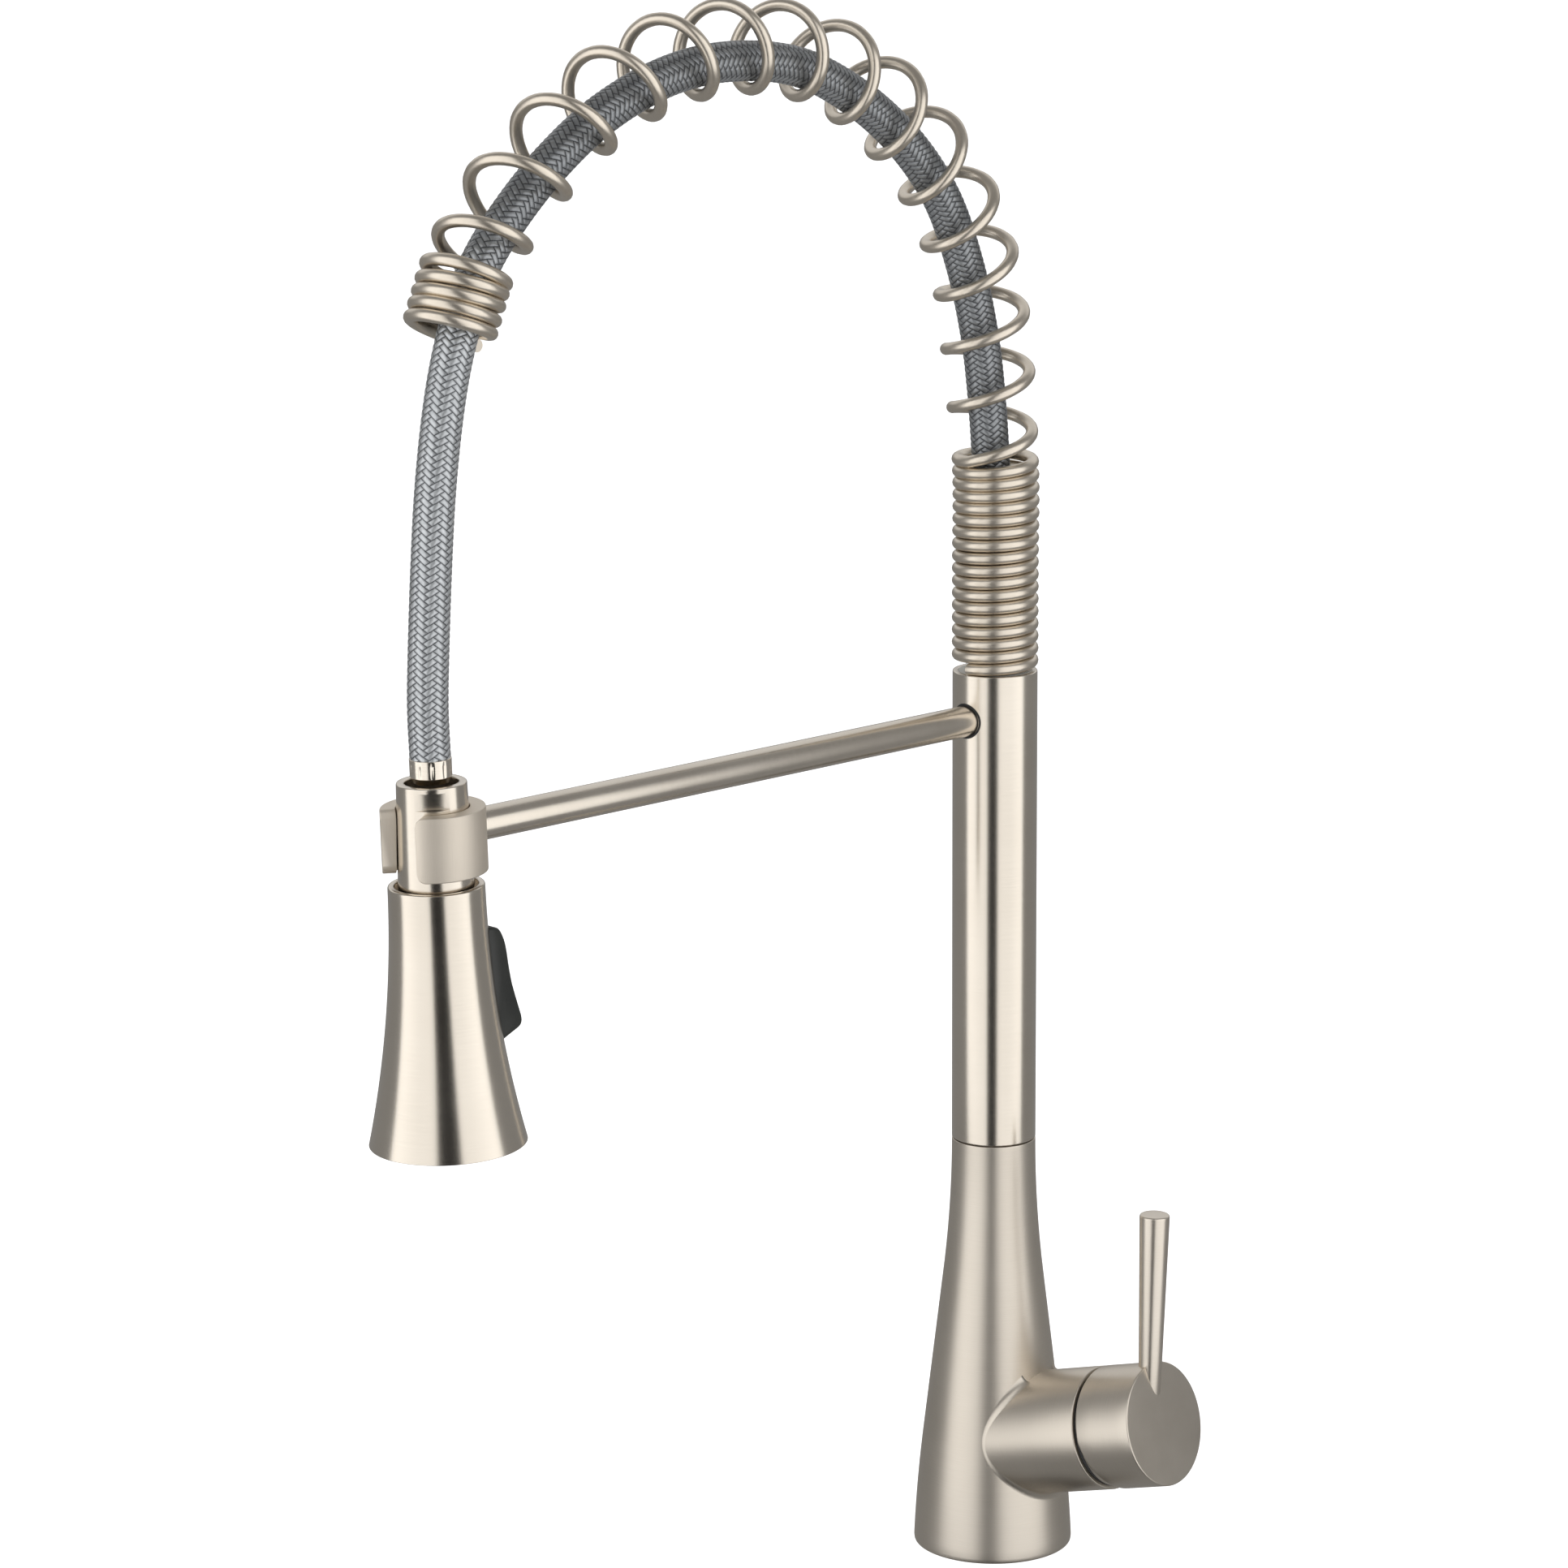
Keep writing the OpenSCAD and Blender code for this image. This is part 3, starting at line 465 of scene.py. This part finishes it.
def make_hose():
    """The braided hose, with its strands standing out of the mesh."""
    distance, table = by_length(HOSE_ROUTE)
    count = int(distance[-1] / HOSE_RING_EVERY)
    s = np.linspace(0, distance[-1], count)
    t = np.interp(s, distance, table)
    place = curve_point(HOSE_ROUTE, t)
    ahead = unit(curve_point(HOSE_ROUTE, np.minimum(t + 0.02, table[-1]))
                 - curve_point(HOSE_ROUTE, np.maximum(t - 0.02, 0)))
    centres = np.column_stack([np.zeros(count), place])
    side_a = np.tile((1.0, 0, 0), (count, 1))
    side_b = np.column_stack([np.zeros(count), -ahead[:, 1], ahead[:, 0]])
    u = np.arange(HOSE_SIDES) / HOSE_SIDES * BRAID_COLUMNS
    height = braid_height(u[None, :] + BRAID_START, s[:, None] / BRAID_PITCH)
    angle = u / BRAID_COLUMNS * 2 * math.pi
    ring = (np.cos(angle)[None, :, None] * side_a[:, None, :]
            + np.sin(angle)[None, :, None] * side_b[:, None, :])
    radius = HOSE_R - BRAID_DEPTH + BRAID_DEPTH * height
    points = (centres[:, None, :] + radius[:, :, None] * ring).reshape(-1, 3)
    faces = tube_mesh(centres, side_a, side_b, np.ones(count), HOSE_SIDES)[1]
    hose = add_mesh("spray_hose_braid", points, faces, BRAID, None, slot="braid", sharp=0)
    braid_uv(hose.data, s / BRAID_PITCH)
    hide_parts("spray_hose")
    path = centres[::12]
    if not np.allclose(path[-1], centres[-1]):
        path = np.vstack([path, centres[-1]])
    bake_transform(hose)


make_hose()


# ---------- spring ----------

COIL_R, COIL_SWELL, WIRE_SIDES, TURN_STEPS = 12.0, 0.9, 14, 48


def make_spring():
    """The coil spring: close turns on the column, open turns over the arch, close turns at its free end."""
    distance, table = by_length(SPRING_ROUTE)
    turns = np.linspace(0, SPRING_TURNS, SPRING_TURNS * TURN_STEPS + 1)
    pace = np.array(SPRING_PACE, float)

    def axis_at(s):
        return curve_point(SPRING_ROUTE, np.interp(s, distance, table))

    def wire(u):
        s = np.interp(u, pace[:, 0], pace[:, 1])
        centre = axis_at(s)
        ahead = unit(axis_at(np.minimum(s + 0.5, distance[-1])) - axis_at(np.maximum(s - 0.5, 0)))
        radius = COIL_R + COIL_SWELL * np.clip(np.minimum((u - 17) / 1.5, (32 - u) / 1.5), 0, 1)
        angle = 2 * math.pi * u
        out = np.column_stack([np.sin(angle), -np.cos(angle) * ahead[:, 1], np.cos(angle) * ahead[:, 0]])
        return np.column_stack([np.zeros(len(u)), centre]) + radius[:, None] * out, out, ahead

    centres, out, ahead = wire(turns)
    along = unit(wire(turns + 0.005)[0] - wire(turns - 0.005)[0])
    out = unit(out - np.sum(out * along, 1)[:, None] * along)
    side = np.cross(along, out)
    points, faces = tube_mesh(centres, out, side, np.full(len(turns), WIRE_R), WIRE_SIDES)
    ground = COLUMN_TOP + 0.05
    foot = (points[:, 1] > -60) & (points[:, 2] < ground)
    points[foot, 2] = ground
    end_axis = ahead[-1]
    end_place = axis_at(np.array([distance[-1]]))[0] - 0.3 * end_axis
    beyond = (points[:, 1:] - end_place) @ end_axis
    cut = (beyond > 0) & (points[:, 1] < -180)
    points[cut, 1:] -= beyond[cut, None] * end_axis
    add_mesh("support_spring_wire", points, faces, NICKEL_WIRE, "column", ["support_spring"], sharp=40)


make_spring()


# ---------- body on the deck ----------

SHOULDER_R = 500
SHOULDER_CENTRE = (-473.35, -21.5)
FLARE_R = 380


def body_radius(z):
    """Outside radius of the body at a height: rounded foot, straight cone, flare into the neck."""
    if z > 93.4:
        return NECK_R + FLARE_R - math.sqrt(FLARE_R**2 - (SEAM_Z - z) ** 2)
    if z > 38:
        return 23.1 + (z - 38) * (16.446 - 23.1) / (93.4 - 38)
    return SHOULDER_CENTRE[0] + math.sqrt(SHOULDER_R**2 - (z - SHOULDER_CENTRE[1]) ** 2)


def make_body():
    """The body with its spigot, and the branch for the valve."""
    heights = np.concatenate([np.linspace(1.7, 38, 14), np.linspace(40, 138.3, 50)])
    wall = [(body_radius(z), z) for z in heights]
    foot = rounded([(21, 0, 0), (25.9, 0, 1.3), (26.15, 1.7, 0)], steps=6)
    top = rounded([(13.7, 138.3, 0), (13.7, 139, 0.45), (11.0, 139, 0)])[1:]
    spigot = [(11.0, 166), (10.6, 166.4), (7, 166.4), (7, 120), (0, 120)]
    profile = [(0, 12), (16, 12), (16, 0)] + foot[:-1] + wall + top + spigot
    lathe("base_body_shell", profile, NICKEL_BODY, "base", replaces=["base_body"], sides=160)
    branch = rounded([(BRANCH_R, 6, 0), (BRANCH_R, 30, 0), (BRANCH_R, BRANCH_END, 0.5),
                      (17.4, BRANCH_END, 0), (17.4, 24, 0), (0, 24, 0)])
    lathe("side_branch", branch, NICKEL_VALVE, "base", matrix=VALVE, sides=160)


def branch_point(angle, along):
    x, y = BRANCH_R * math.cos(angle), BRANCH_R * math.sin(angle)
    return np.array(VALVE @ Vector((x, y, along)))


def on_body(p):
    scale = body_radius(p[2]) / math.hypot(p[0], p[1])
    return np.array((p[0] * scale, p[1] * scale, p[2]))


def on_branch(p):
    local = np.array(VALVE.inverted() @ Vector(p))
    scale = BRANCH_R / math.hypot(local[0], local[1])
    return np.array(VALVE @ Vector((local[0] * scale, local[1] * scale, local[2])))


def body_normal(p):
    slope = (body_radius(p[2] + 0.05) - body_radius(p[2] - 0.05)) / 0.1
    across = np.array((p[0], p[1], 0)) / math.hypot(p[0], p[1])
    return unit(across - slope * np.array((0, 0, 1.0)))


def branch_normal(p):
    local = VALVE.inverted() @ Vector(p)
    return np.array(VALVE.to_3x3() @ Vector((local[0], local[1], 0)).normalized())


def make_fillet(radius=3.2, count=160, steps=12):
    """The rounded joint between the body and the side branch, as a strip over the crease."""
    line = []
    for i in range(count):
        angle = 2 * math.pi * i / count
        low, high = 8.0, 45.0
        for _ in range(50):
            middle = (low + high) / 2
            p = branch_point(angle, middle)
            inside = math.hypot(p[0], p[1]) < body_radius(p[2])
            low, high = (middle, high) if inside else (low, middle)
        line.append(branch_point(angle, low))
    points = []
    for i, p in enumerate(line):
        tangent = unit(line[(i + 1) % count] - line[i - 1])
        down = unit(np.cross(tangent, body_normal(p)))
        out = unit(np.cross(tangent, branch_normal(p)))
        down = down if down @ (p - branch_point(2 * math.pi * i / count, 60)) > 0 else -down
        out = out if out @ (branch_point(2 * math.pi * i / count, 60) - p) > 0 else -out
        between = math.acos(max(-1, min(1, float(down @ out))))
        reach = radius / math.tan(between / 2)
        start, end = on_branch(p + reach * out), on_body(p + reach * down)
        start = start - 0.02 * branch_normal(start)
        end = end - 0.02 * body_normal(end)
        handle = 4 / 3 * math.tan((math.pi - between) / 4) * radius
        one = start - handle * unit(out - (out @ branch_normal(start)) * branch_normal(start))
        two = end - handle * unit(down - (down @ body_normal(end)) * body_normal(end))
        for k in range(steps + 1):
            t = k / steps
            points.append((1 - t) ** 3 * start + 3 * t * (1 - t) ** 2 * one
                          + 3 * t * t * (1 - t) * two + t**3 * end)
    faces = []
    for i in range(count):
        a, b = i * (steps + 1), (i + 1) % count * (steps + 1)
        faces.extend((a + k, a + k + 1, b + k + 1, b + k) for k in range(steps))
    add_mesh("branch_fillet", points, faces, NICKEL_BODY, "base", sharp=0)


make_body()
make_fillet()


# ---------- handle ----------

def make_hub():
    """The round hub of the handle, hollow over the dome and cut at an angle behind."""
    cut = math.tan(math.radians(11))

    def oblique(points):
        rear = points[:, 2] < BRANCH_END + HUB_GAP + 1.2
        points[rear, 2] += np.maximum(points[rear, 0], 0) * cut
        return points

    start = BRANCH_END + HUB_GAP
    hollow = DOME_R + 0.3
    inner = math.sqrt(hollow**2 - (start - PIVOT) ** 2)
    dome = [(hollow * math.sin(a), PIVOT + hollow * math.cos(a)) for a in np.linspace(0, 0.9, 12)]
    profile = dome + rounded([(inner - 0.6, start + 3, 0), (inner - 0.3, start, 0.1),
                              (BRANCH_R, start, 0.5), (BRANCH_R, start + 6, 0),
                              (BRANCH_R, HUB_FACE - 5, 0), (BRANCH_R, HUB_FACE, 0.55), (0, HUB_FACE, 0)])
    lathe("handle_hub_shell", profile, NICKEL_VALVE, "handle", matrix=VALVE, sides=160,
          shape=oblique, replaces=["handle_hub"])


def make_lever():
    """The tapered rod, sunk into the hub."""
    length = 124 - 73.8
    profile = rounded([(0, -14, 0), (3.4, -14, 0.3), (3.8, 0, 0), (4.9, length, 0.9), (0, length, 0)],
                      steps=6)
    lathe("lever_rod_bar", profile, NICKEL_LEVER, "handle", matrix=LEVER, sides=96, replaces=["lever_rod"])


def make_dome():
    """The domed cover behind the hub, on its black sealing ring, whose black also stands in for the shade
    in the gap between the branch and the hub.
    """
    inner = DOME_R - 1.6
    steps = np.linspace(DOME_START + 0.25, 57, 24)
    outside = [(math.sqrt(DOME_R**2 - (z - PIVOT) ** 2), z) for z in steps]
    inside = [(math.sqrt(inner**2 - (z - PIVOT) ** 2), z) for z in (57, 54, 52, DOME_START)]
    edge = [(outside[0][0] - 0.25, DOME_START)]
    lathe("valve_dome_cover", edge + outside + inside, NICKEL_VALVE, "base", matrix=VALVE,
          closed=True, replaces=["valve_dome"])
    # Painted shade: this black rubber ring fills the gap between the branch and the hub. It is a sealing
    # ring whose black also gives the gap its shade.
    seal_and_gap_shade = rounded([(17.9, BRANCH_END, 0), (18.9, BRANCH_END, 0.2),
                    (18.9, DOME_START, 0.2), (17.9, DOME_START, 0)], closed=True)
    lathe("branch_seal_gap_shade_ring", seal_and_gap_shade, RUBBER, "base", matrix=VALVE, closed=True, slot="rubber",
          replaces=["branch_seal"])


make_hub()
make_lever()
make_dome()


# ---------- column and arm ----------

def make_column():
    """The column, and the black lip where the arm goes into it."""
    profile = rounded([(11.8, 139.35, 0.2), (NECK_R, 139.35, 0.35),
                       (NECK_R, COLUMN_TOP, 0.5), (11.8, COLUMN_TOP, 0.3)], closed=True)
    lathe("column_tube_wall", profile, NICKEL_UPRIGHT, "column", sides=160, closed=True,
          replaces=["column_tube"])
    angle = np.arange(96) * 2 * math.pi / 96
    x, z = 5.35 * np.cos(angle), ARM_Z + 5.35 * np.sin(angle)
    ring = np.column_stack([x, -np.sqrt((NECK_R - 0.05) ** 2 - x**2), z])
    points, faces = [], []
    for i, p in enumerate(ring):
        outward = np.array((np.cos(angle[i]), 0, np.sin(angle[i])))
        wall = unit(np.array((p[0], p[1], 0)))
        points.extend(p + 0.42 * (math.cos(a) * outward + math.sin(a) * wall)
                      for a in np.arange(8) * math.pi / 4)
        k = (i + 1) % 96
        faces.extend((i * 8 + j, i * 8 + (j + 1) % 8, k * 8 + (j + 1) % 8, k * 8 + j) for j in range(8))
    add_mesh("arm_seal_lip", points, faces, RUBBER, "column", ["arm_seal"], slot="rubber")


def make_arm():
    """The arm that carries the clip."""
    aim = Matrix.Translation((0, -9.6, ARM_Z)) @ Matrix.Rotation(math.radians(90), 4, "X")
    profile = rounded([(2, 203, 0), (2, 213.3, 0), (5, 213.3, 0.2), (5, 0, 0.3), (0, 0, 0)])
    lathe("dock_arm_rod", profile, NICKEL_ARM, "column", matrix=aim, sides=96, replaces=["dock_arm"])


def make_clip():
    """The open ring that holds the spray head, with rounded finger tips."""
    gap = math.radians(29.5)
    corner = 2.6
    stations = 150
    angles = np.linspace(gap, 2 * math.pi - gap, stations)
    low_in, high_in = 11.45, 10.95
    section = rounded([(low_in, CLIP_BOTTOM, 0.35), (CLIP_R, CLIP_BOTTOM, 0.45),
                       (CLIP_R, CLIP_TOP, 0.45), (high_in, CLIP_TOP, 0.35)], closed=True, steps=4)
    middle, half = (CLIP_TOP + CLIP_BOTTOM) / 2, (CLIP_TOP - CLIP_BOTTOM) / 2
    points, faces = [], []
    for angle in angles:
        edge = min(angle - gap, 2 * math.pi - gap - angle) * CLIP_R
        inset = 0.0
        if edge < corner:
            inset = corner - math.sqrt(max(corner**2 - (corner - edge) ** 2, 0))
        squeeze = (half - inset) / half
        direction = np.array((math.sin(angle), -math.cos(angle)))
        for r, z in section:
            points.append((r * direction[0], r * direction[1], middle + (z - middle) * squeeze))
    n = len(section)
    for i in range(stations - 1):
        a, b = i * n, (i + 1) * n
        faces.extend((a + j, a + (j + 1) % n, b + (j + 1) % n, b + j) for j in range(n))
    faces.append(tuple(range(n)))
    faces.append(tuple((stations - 1) * n + j for j in range(n - 1, -1, -1)))
    add_mesh("dock_clip_ring", points, faces, NICKEL_CLIP, "column", ["dock_clip"], matrix=HEAD, sharp=40)


make_column()
make_arm()
make_clip()


# ---------- hose end and spray head ----------

def carve(obj, cutter):
    """Takes the cutter's volume out of obj for good."""
    modifier = obj.modifiers.new("carve", "BOOLEAN")
    modifier.operation = "DIFFERENCE"
    modifier.solver = "EXACT"
    modifier.object = cutter
    with bpy.context.temp_override(object=obj, active_object=obj):
        bpy.ops.object.modifier_apply(modifier=modifier.name)
    bpy.data.objects.remove(cutter)
    obj.data.set_sharp_from_angle(angle=math.radians(38))


def block(low, high, matrix):
    """A plain box used only to carve with."""
    corners = [(x, y, z) for x in (low[0], high[0]) for y in (low[1], high[1]) for z in (low[2], high[2])]
    faces = [(0, 1, 3, 2), (4, 6, 7, 5), (0, 4, 5, 1), (2, 3, 7, 6), (0, 2, 6, 4), (1, 5, 7, 3)]
    mesh = bpy.data.meshes.new("carver")
    mesh.from_pydata([tuple((matrix @ Vector(c)) * MM) for c in corners], [], faces)
    obj = bpy.data.objects.new("carver", mesh)
    bpy.context.scene.collection.objects.link(obj)
    return obj


def make_ferrule():
    """The crimped sleeve at the hose's end."""
    def crimped(points):
        angle = np.arctan2(points[:, 1], points[:, 0])
        radius = np.hypot(points[:, 0], points[:, 1])
        above = np.clip((points[:, 2] - 1.5) / 1.5, 0, 1)
        below = np.clip((6.3 - points[:, 2]) / 0.8, 0, 1)
        groove = np.abs(np.cos(angle * 5)) ** 24 * above * below
        keep = 1 - 0.05 * groove * (radius > 5.0)
        points[:, :2] *= keep[:, None]
        return points

    profile = rounded([(3, -4, 0), (5.2, -4, 0.2), (5.5, 0, 0.5), (6.25, 1.8, 0.6), (6.25, 3.4, 0),
                       (6.25, 5.6, 0.3), (6.3, 7.1, 0.25), (6.0, 7.2, 0), (5.9, 6.0, 0), (3, 6.0, 0)],
                      closed=True)
    lathe("hose_ferrule_sleeve", profile, NICKEL_BRIGHT, "hose_end", matrix=HEAD, sides=120,
          closed=True, shape=crimped, replaces=["hose_ferrule"])


def make_collar():
    """The collar above the bell, with two flats that lean inwards."""
    profile = rounded([(4.65, -38, 0), (11.25, -38, 0.3), (11.25, RIM_Z, 0), (10.45, 0, 0.6),
                       (8.0, 0, 0.5), (8.0, -12.3, 0), (4.65, -12.3, 0)], closed=True)
    collar = lathe("dock_collar_body", profile, NICKEL_HEAD, "spray_head", matrix=HEAD, sides=160,
                   closed=True, replaces=["dock_collar"])
    for turn in (50, 230):
        flat = (HEAD @ Matrix.Rotation(math.radians(turn), 4, "Z") @ Matrix.Translation((0, -9.73, -1.4))
                @ Matrix.Rotation(math.radians(4), 4, "X"))
        carve(collar, block((-8, -5, -5.2), (8, 0, 0), flat))


def bell_radius(z):
    return 14.4 + BELL_CURVE - math.sqrt(BELL_CURVE**2 - (z - RIM_Z) ** 2)


def make_bell():
    """The flared shell of the spray head, with a window for the button."""
    heights = np.linspace(RIM_Z - 1.3, MOUTH_Z + 0.5, 70)
    outside = [(bell_radius(z), z) for z in heights]
    inside = [(bell_radius(z) - 1.7, z) for z in heights[::-1] if z < -40]
    rim = rounded([(12.45, RIM_Z - 3, 0), (12.45, RIM_Z, 0.5), (14.38, RIM_Z, 1.1),
                   (14.4, RIM_Z - 1.6, 0)], steps=7)[:-1]
    mouth_r = bell_radius(MOUTH_Z)
    foot = rounded([(bell_radius(MOUTH_Z + 0.5), MOUTH_Z + 0.5, 0), (mouth_r, MOUTH_Z, 0.4),
                    (mouth_r - 1.7, MOUTH_Z, 0.4), (mouth_r - 1.8, MOUTH_Z + 0.5, 0)])[1:-1]
    profile = rim + outside + foot + inside + [(11.3, -40), (11.3, RIM_Z - 3)]
    bell = lathe("spray_shell_bell", profile, NICKEL_HEAD, "spray_head", matrix=HEAD, sides=180,
                 closed=True, replaces=["spray_shell"])
    carve(bell, block((-8.4, 8, -83.4), (8.4, 38, -45.6), HEAD))


def make_button():
    """The black rocker at the back of the spray head."""
    side = [(-46, 12), (-46, 14.8), (-46.8, 16.8), (-48.3, 18), (-51, 19.1), (-54, 19.7), (-59, 20.3),
            (-64, 21.1), (-68, 22.2), (-72, 23.4), (-75, 24.3), (-76.5, 24.5), (-77.8, 24.2), (-78.8, 23.2),
            (-80.2, 19.5), (-81.8, 15.5), (-81.8, 13.4), (-76, 12.4), (-64, 11), (-52, 11)]
    outline = np.array(side, float)
    for _ in range(2):
        after = np.roll(outline, -1, 0)
        cut = np.stack([0.8 * outline + 0.2 * after, 0.2 * outline + 0.8 * after], 1)
        outline = cut.reshape(-1, 2)
    half = 8.0
    layers = [(-half, 0.9), (-half + 0.25, 0.4), (-half + 0.9, 0.0),
              (half - 0.9, 0.0), (half - 0.25, 0.4), (half, 0.9)]
    ahead = unit(np.roll(outline, -1, 0) - np.roll(outline, 1, 0))
    inward = np.column_stack([-ahead[:, 1], ahead[:, 0]])
    centre = outline.mean(0)
    if np.sum(inward * (centre - outline)) < 0:
        inward = -inward
    points, faces = [], []
    n = len(outline)
    for x, inset in layers:
        points.extend((x, y, z) for z, y in outline + inward * inset)
    for i in range(len(layers) - 1):
        a, b = i * n, (i + 1) * n
        faces.extend((a + j, a + (j + 1) % n, b + (j + 1) % n, b + j) for j in range(n))
    faces.append(tuple(range(n)))
    faces.append(tuple((len(layers) - 1) * n + j for j in range(n - 1, -1, -1)))
    add_mesh("toggle_button_cap", points, faces, BLACK, "toggle", ["toggle_button"],
             slot="black_plastic", matrix=HEAD, sharp=50)


make_ferrule()
make_collar()
make_bell()
make_button()


# ---------- CAD nodes that stay ----------

SLOT_OF = {s["node"]: s["material_slot"] for s in frame["record"]["subparts"]}
for node_name, node in NODES.items():
    node.data.materials.clear()
    node.data.materials.append(BY_SLOT[SLOT_OF[node_name]])


# ---------- light, backdrop and floor ----------

def view_axes():
    """Level directions towards the camera and to its right."""
    az = math.radians(CAMERA_AZIMUTH)
    return Vector((math.sin(az), -math.cos(az), 0)), Vector((math.cos(az), math.sin(az), 0))


def panel(name, start, end, low, high, radiance):
    """A tall soft box between two places, given as (towards the camera, to the right) in metres."""
    near, right = view_axes()
    a, b = start[0] * near + start[1] * right, end[0] * near + end[1] * right
    centre = (a + b) / 2 + Vector((0, 0, (low + high) / 2))
    along = (b - a).normalized()
    inward = along.cross(Vector((0, 0, 1)))
    if inward.dot(-centre) < 0:
        inward = -inward
    data = bpy.data.lights.new(name, "AREA")
    data.shape = "RECTANGLE"
    data.size = (b - a).length
    data.size_y = high - low
    data.energy = radiance * math.pi * data.size * data.size_y
    light = bpy.data.objects.new(name, data)
    bpy.context.scene.collection.objects.link(light)
    rise = Vector((0, 0, 1))
    across = rise.cross(-inward)
    light.matrix_world = Matrix.Translation(centre) @ Matrix((across, rise, -inward)).transposed().to_4x4()
    light.visible_camera = False


def make_world():
    """A studio that is dark in front and overhead, brighter low at the sides and bright high behind."""
    world = bpy.data.worlds.new("studio")
    bpy.context.scene.world = world
    world.use_nodes = True
    tree = world.node_tree
    tree.nodes.clear()
    near, _ = view_axes()

    def node(kind, **settings):
        new = tree.nodes.new(kind)
        for key, value in settings.items():
            setattr(new, key, value)
        return new

    def ramp(source, start, end, low, high):
        new = node("ShaderNodeMapRange")
        for key, value in zip(("From Min", "From Max", "To Min", "To Max"), (start, end, low, high)):
            new.inputs[key].default_value = value
        tree.links.new(source, new.inputs["Value"])
        return new.outputs["Result"]

    def combine(operation, first, second):
        new = node("ShaderNodeMath", operation=operation)
        tree.links.new(first, new.inputs[0])
        tree.links.new(second, new.inputs[1])
        return new.outputs[0]

    direction = node("ShaderNodeTexCoord").outputs["Generated"]
    facing = node("ShaderNodeVectorMath", operation="DOT_PRODUCT")
    facing.inputs[1].default_value = near
    tree.links.new(direction, facing.inputs[0])
    split = node("ShaderNodeSeparateXYZ")
    tree.links.new(direction, split.inputs[0])
    front = ramp(facing.outputs["Value"], 0.25, 0.75, 0.31, 0.02)
    behind = ramp(facing.outputs["Value"], -0.35, -0.6, 0, 0.6)
    raised = ramp(split.outputs["Z"], 0.12, 0.26, 0, 1)
    total = combine("ADD", front, combine("MULTIPLY", behind, raised))
    dim, white = node("ShaderNodeBackground"), node("ShaderNodeBackground")
    tree.links.new(total, dim.inputs["Strength"])
    white.inputs["Color"].default_value = (1, 1, 1, 1)
    seen, mix, out = node("ShaderNodeLightPath"), node("ShaderNodeMixShader"), node("ShaderNodeOutputWorld")
    tree.links.new(seen.outputs["Is Camera Ray"], mix.inputs["Fac"])
    tree.links.new(dim.outputs[0], mix.inputs[1])
    tree.links.new(white.outputs[0], mix.inputs[2])
    tree.links.new(mix.outputs[0], out.inputs["Surface"])


def make_floor():
    """A white floor that the metal doesn't mirror."""
    m = Nodes("floor", Roughness=0.9)
    m.shader.inputs["Emission Strength"].default_value = 0.92
    speckle = m.noise(m.grain((1, 1, 1)), 300, 2)
    greys = [(0.3, (0.86, 0.86, 0.86)), (0.7, (0.9, 0.9, 0.9))]
    m.link(m.ramp(speckle, greys), m.shader.inputs["Base Color"])
    m.shader.inputs["Emission Color"].default_value = (1, 1, 1, 1)
    mesh = bpy.data.meshes.new("floor")
    size = 6.0
    corners = [(-size, -size, 0), (size, -size, 0), (size, size, 0), (-size, size, 0)]
    mesh.from_pydata(corners, [], [(0, 1, 2, 3)])
    mesh.materials.append(m.material)
    floor = bpy.data.objects.new("floor", mesh)
    bpy.context.scene.collection.objects.link(floor)
    floor.visible_glossy = False


panel("soft_box_right", (0.809, 0.083), (0.28, 1.58), -0.45, 1.35, 1.15)
panel("soft_box_left", (0.809, -0.311), (0.25, -1.7), -0.45, 1.35, 1.15)
make_world()
make_floor()
bpy.context.scene.view_settings.view_transform = "Standard"
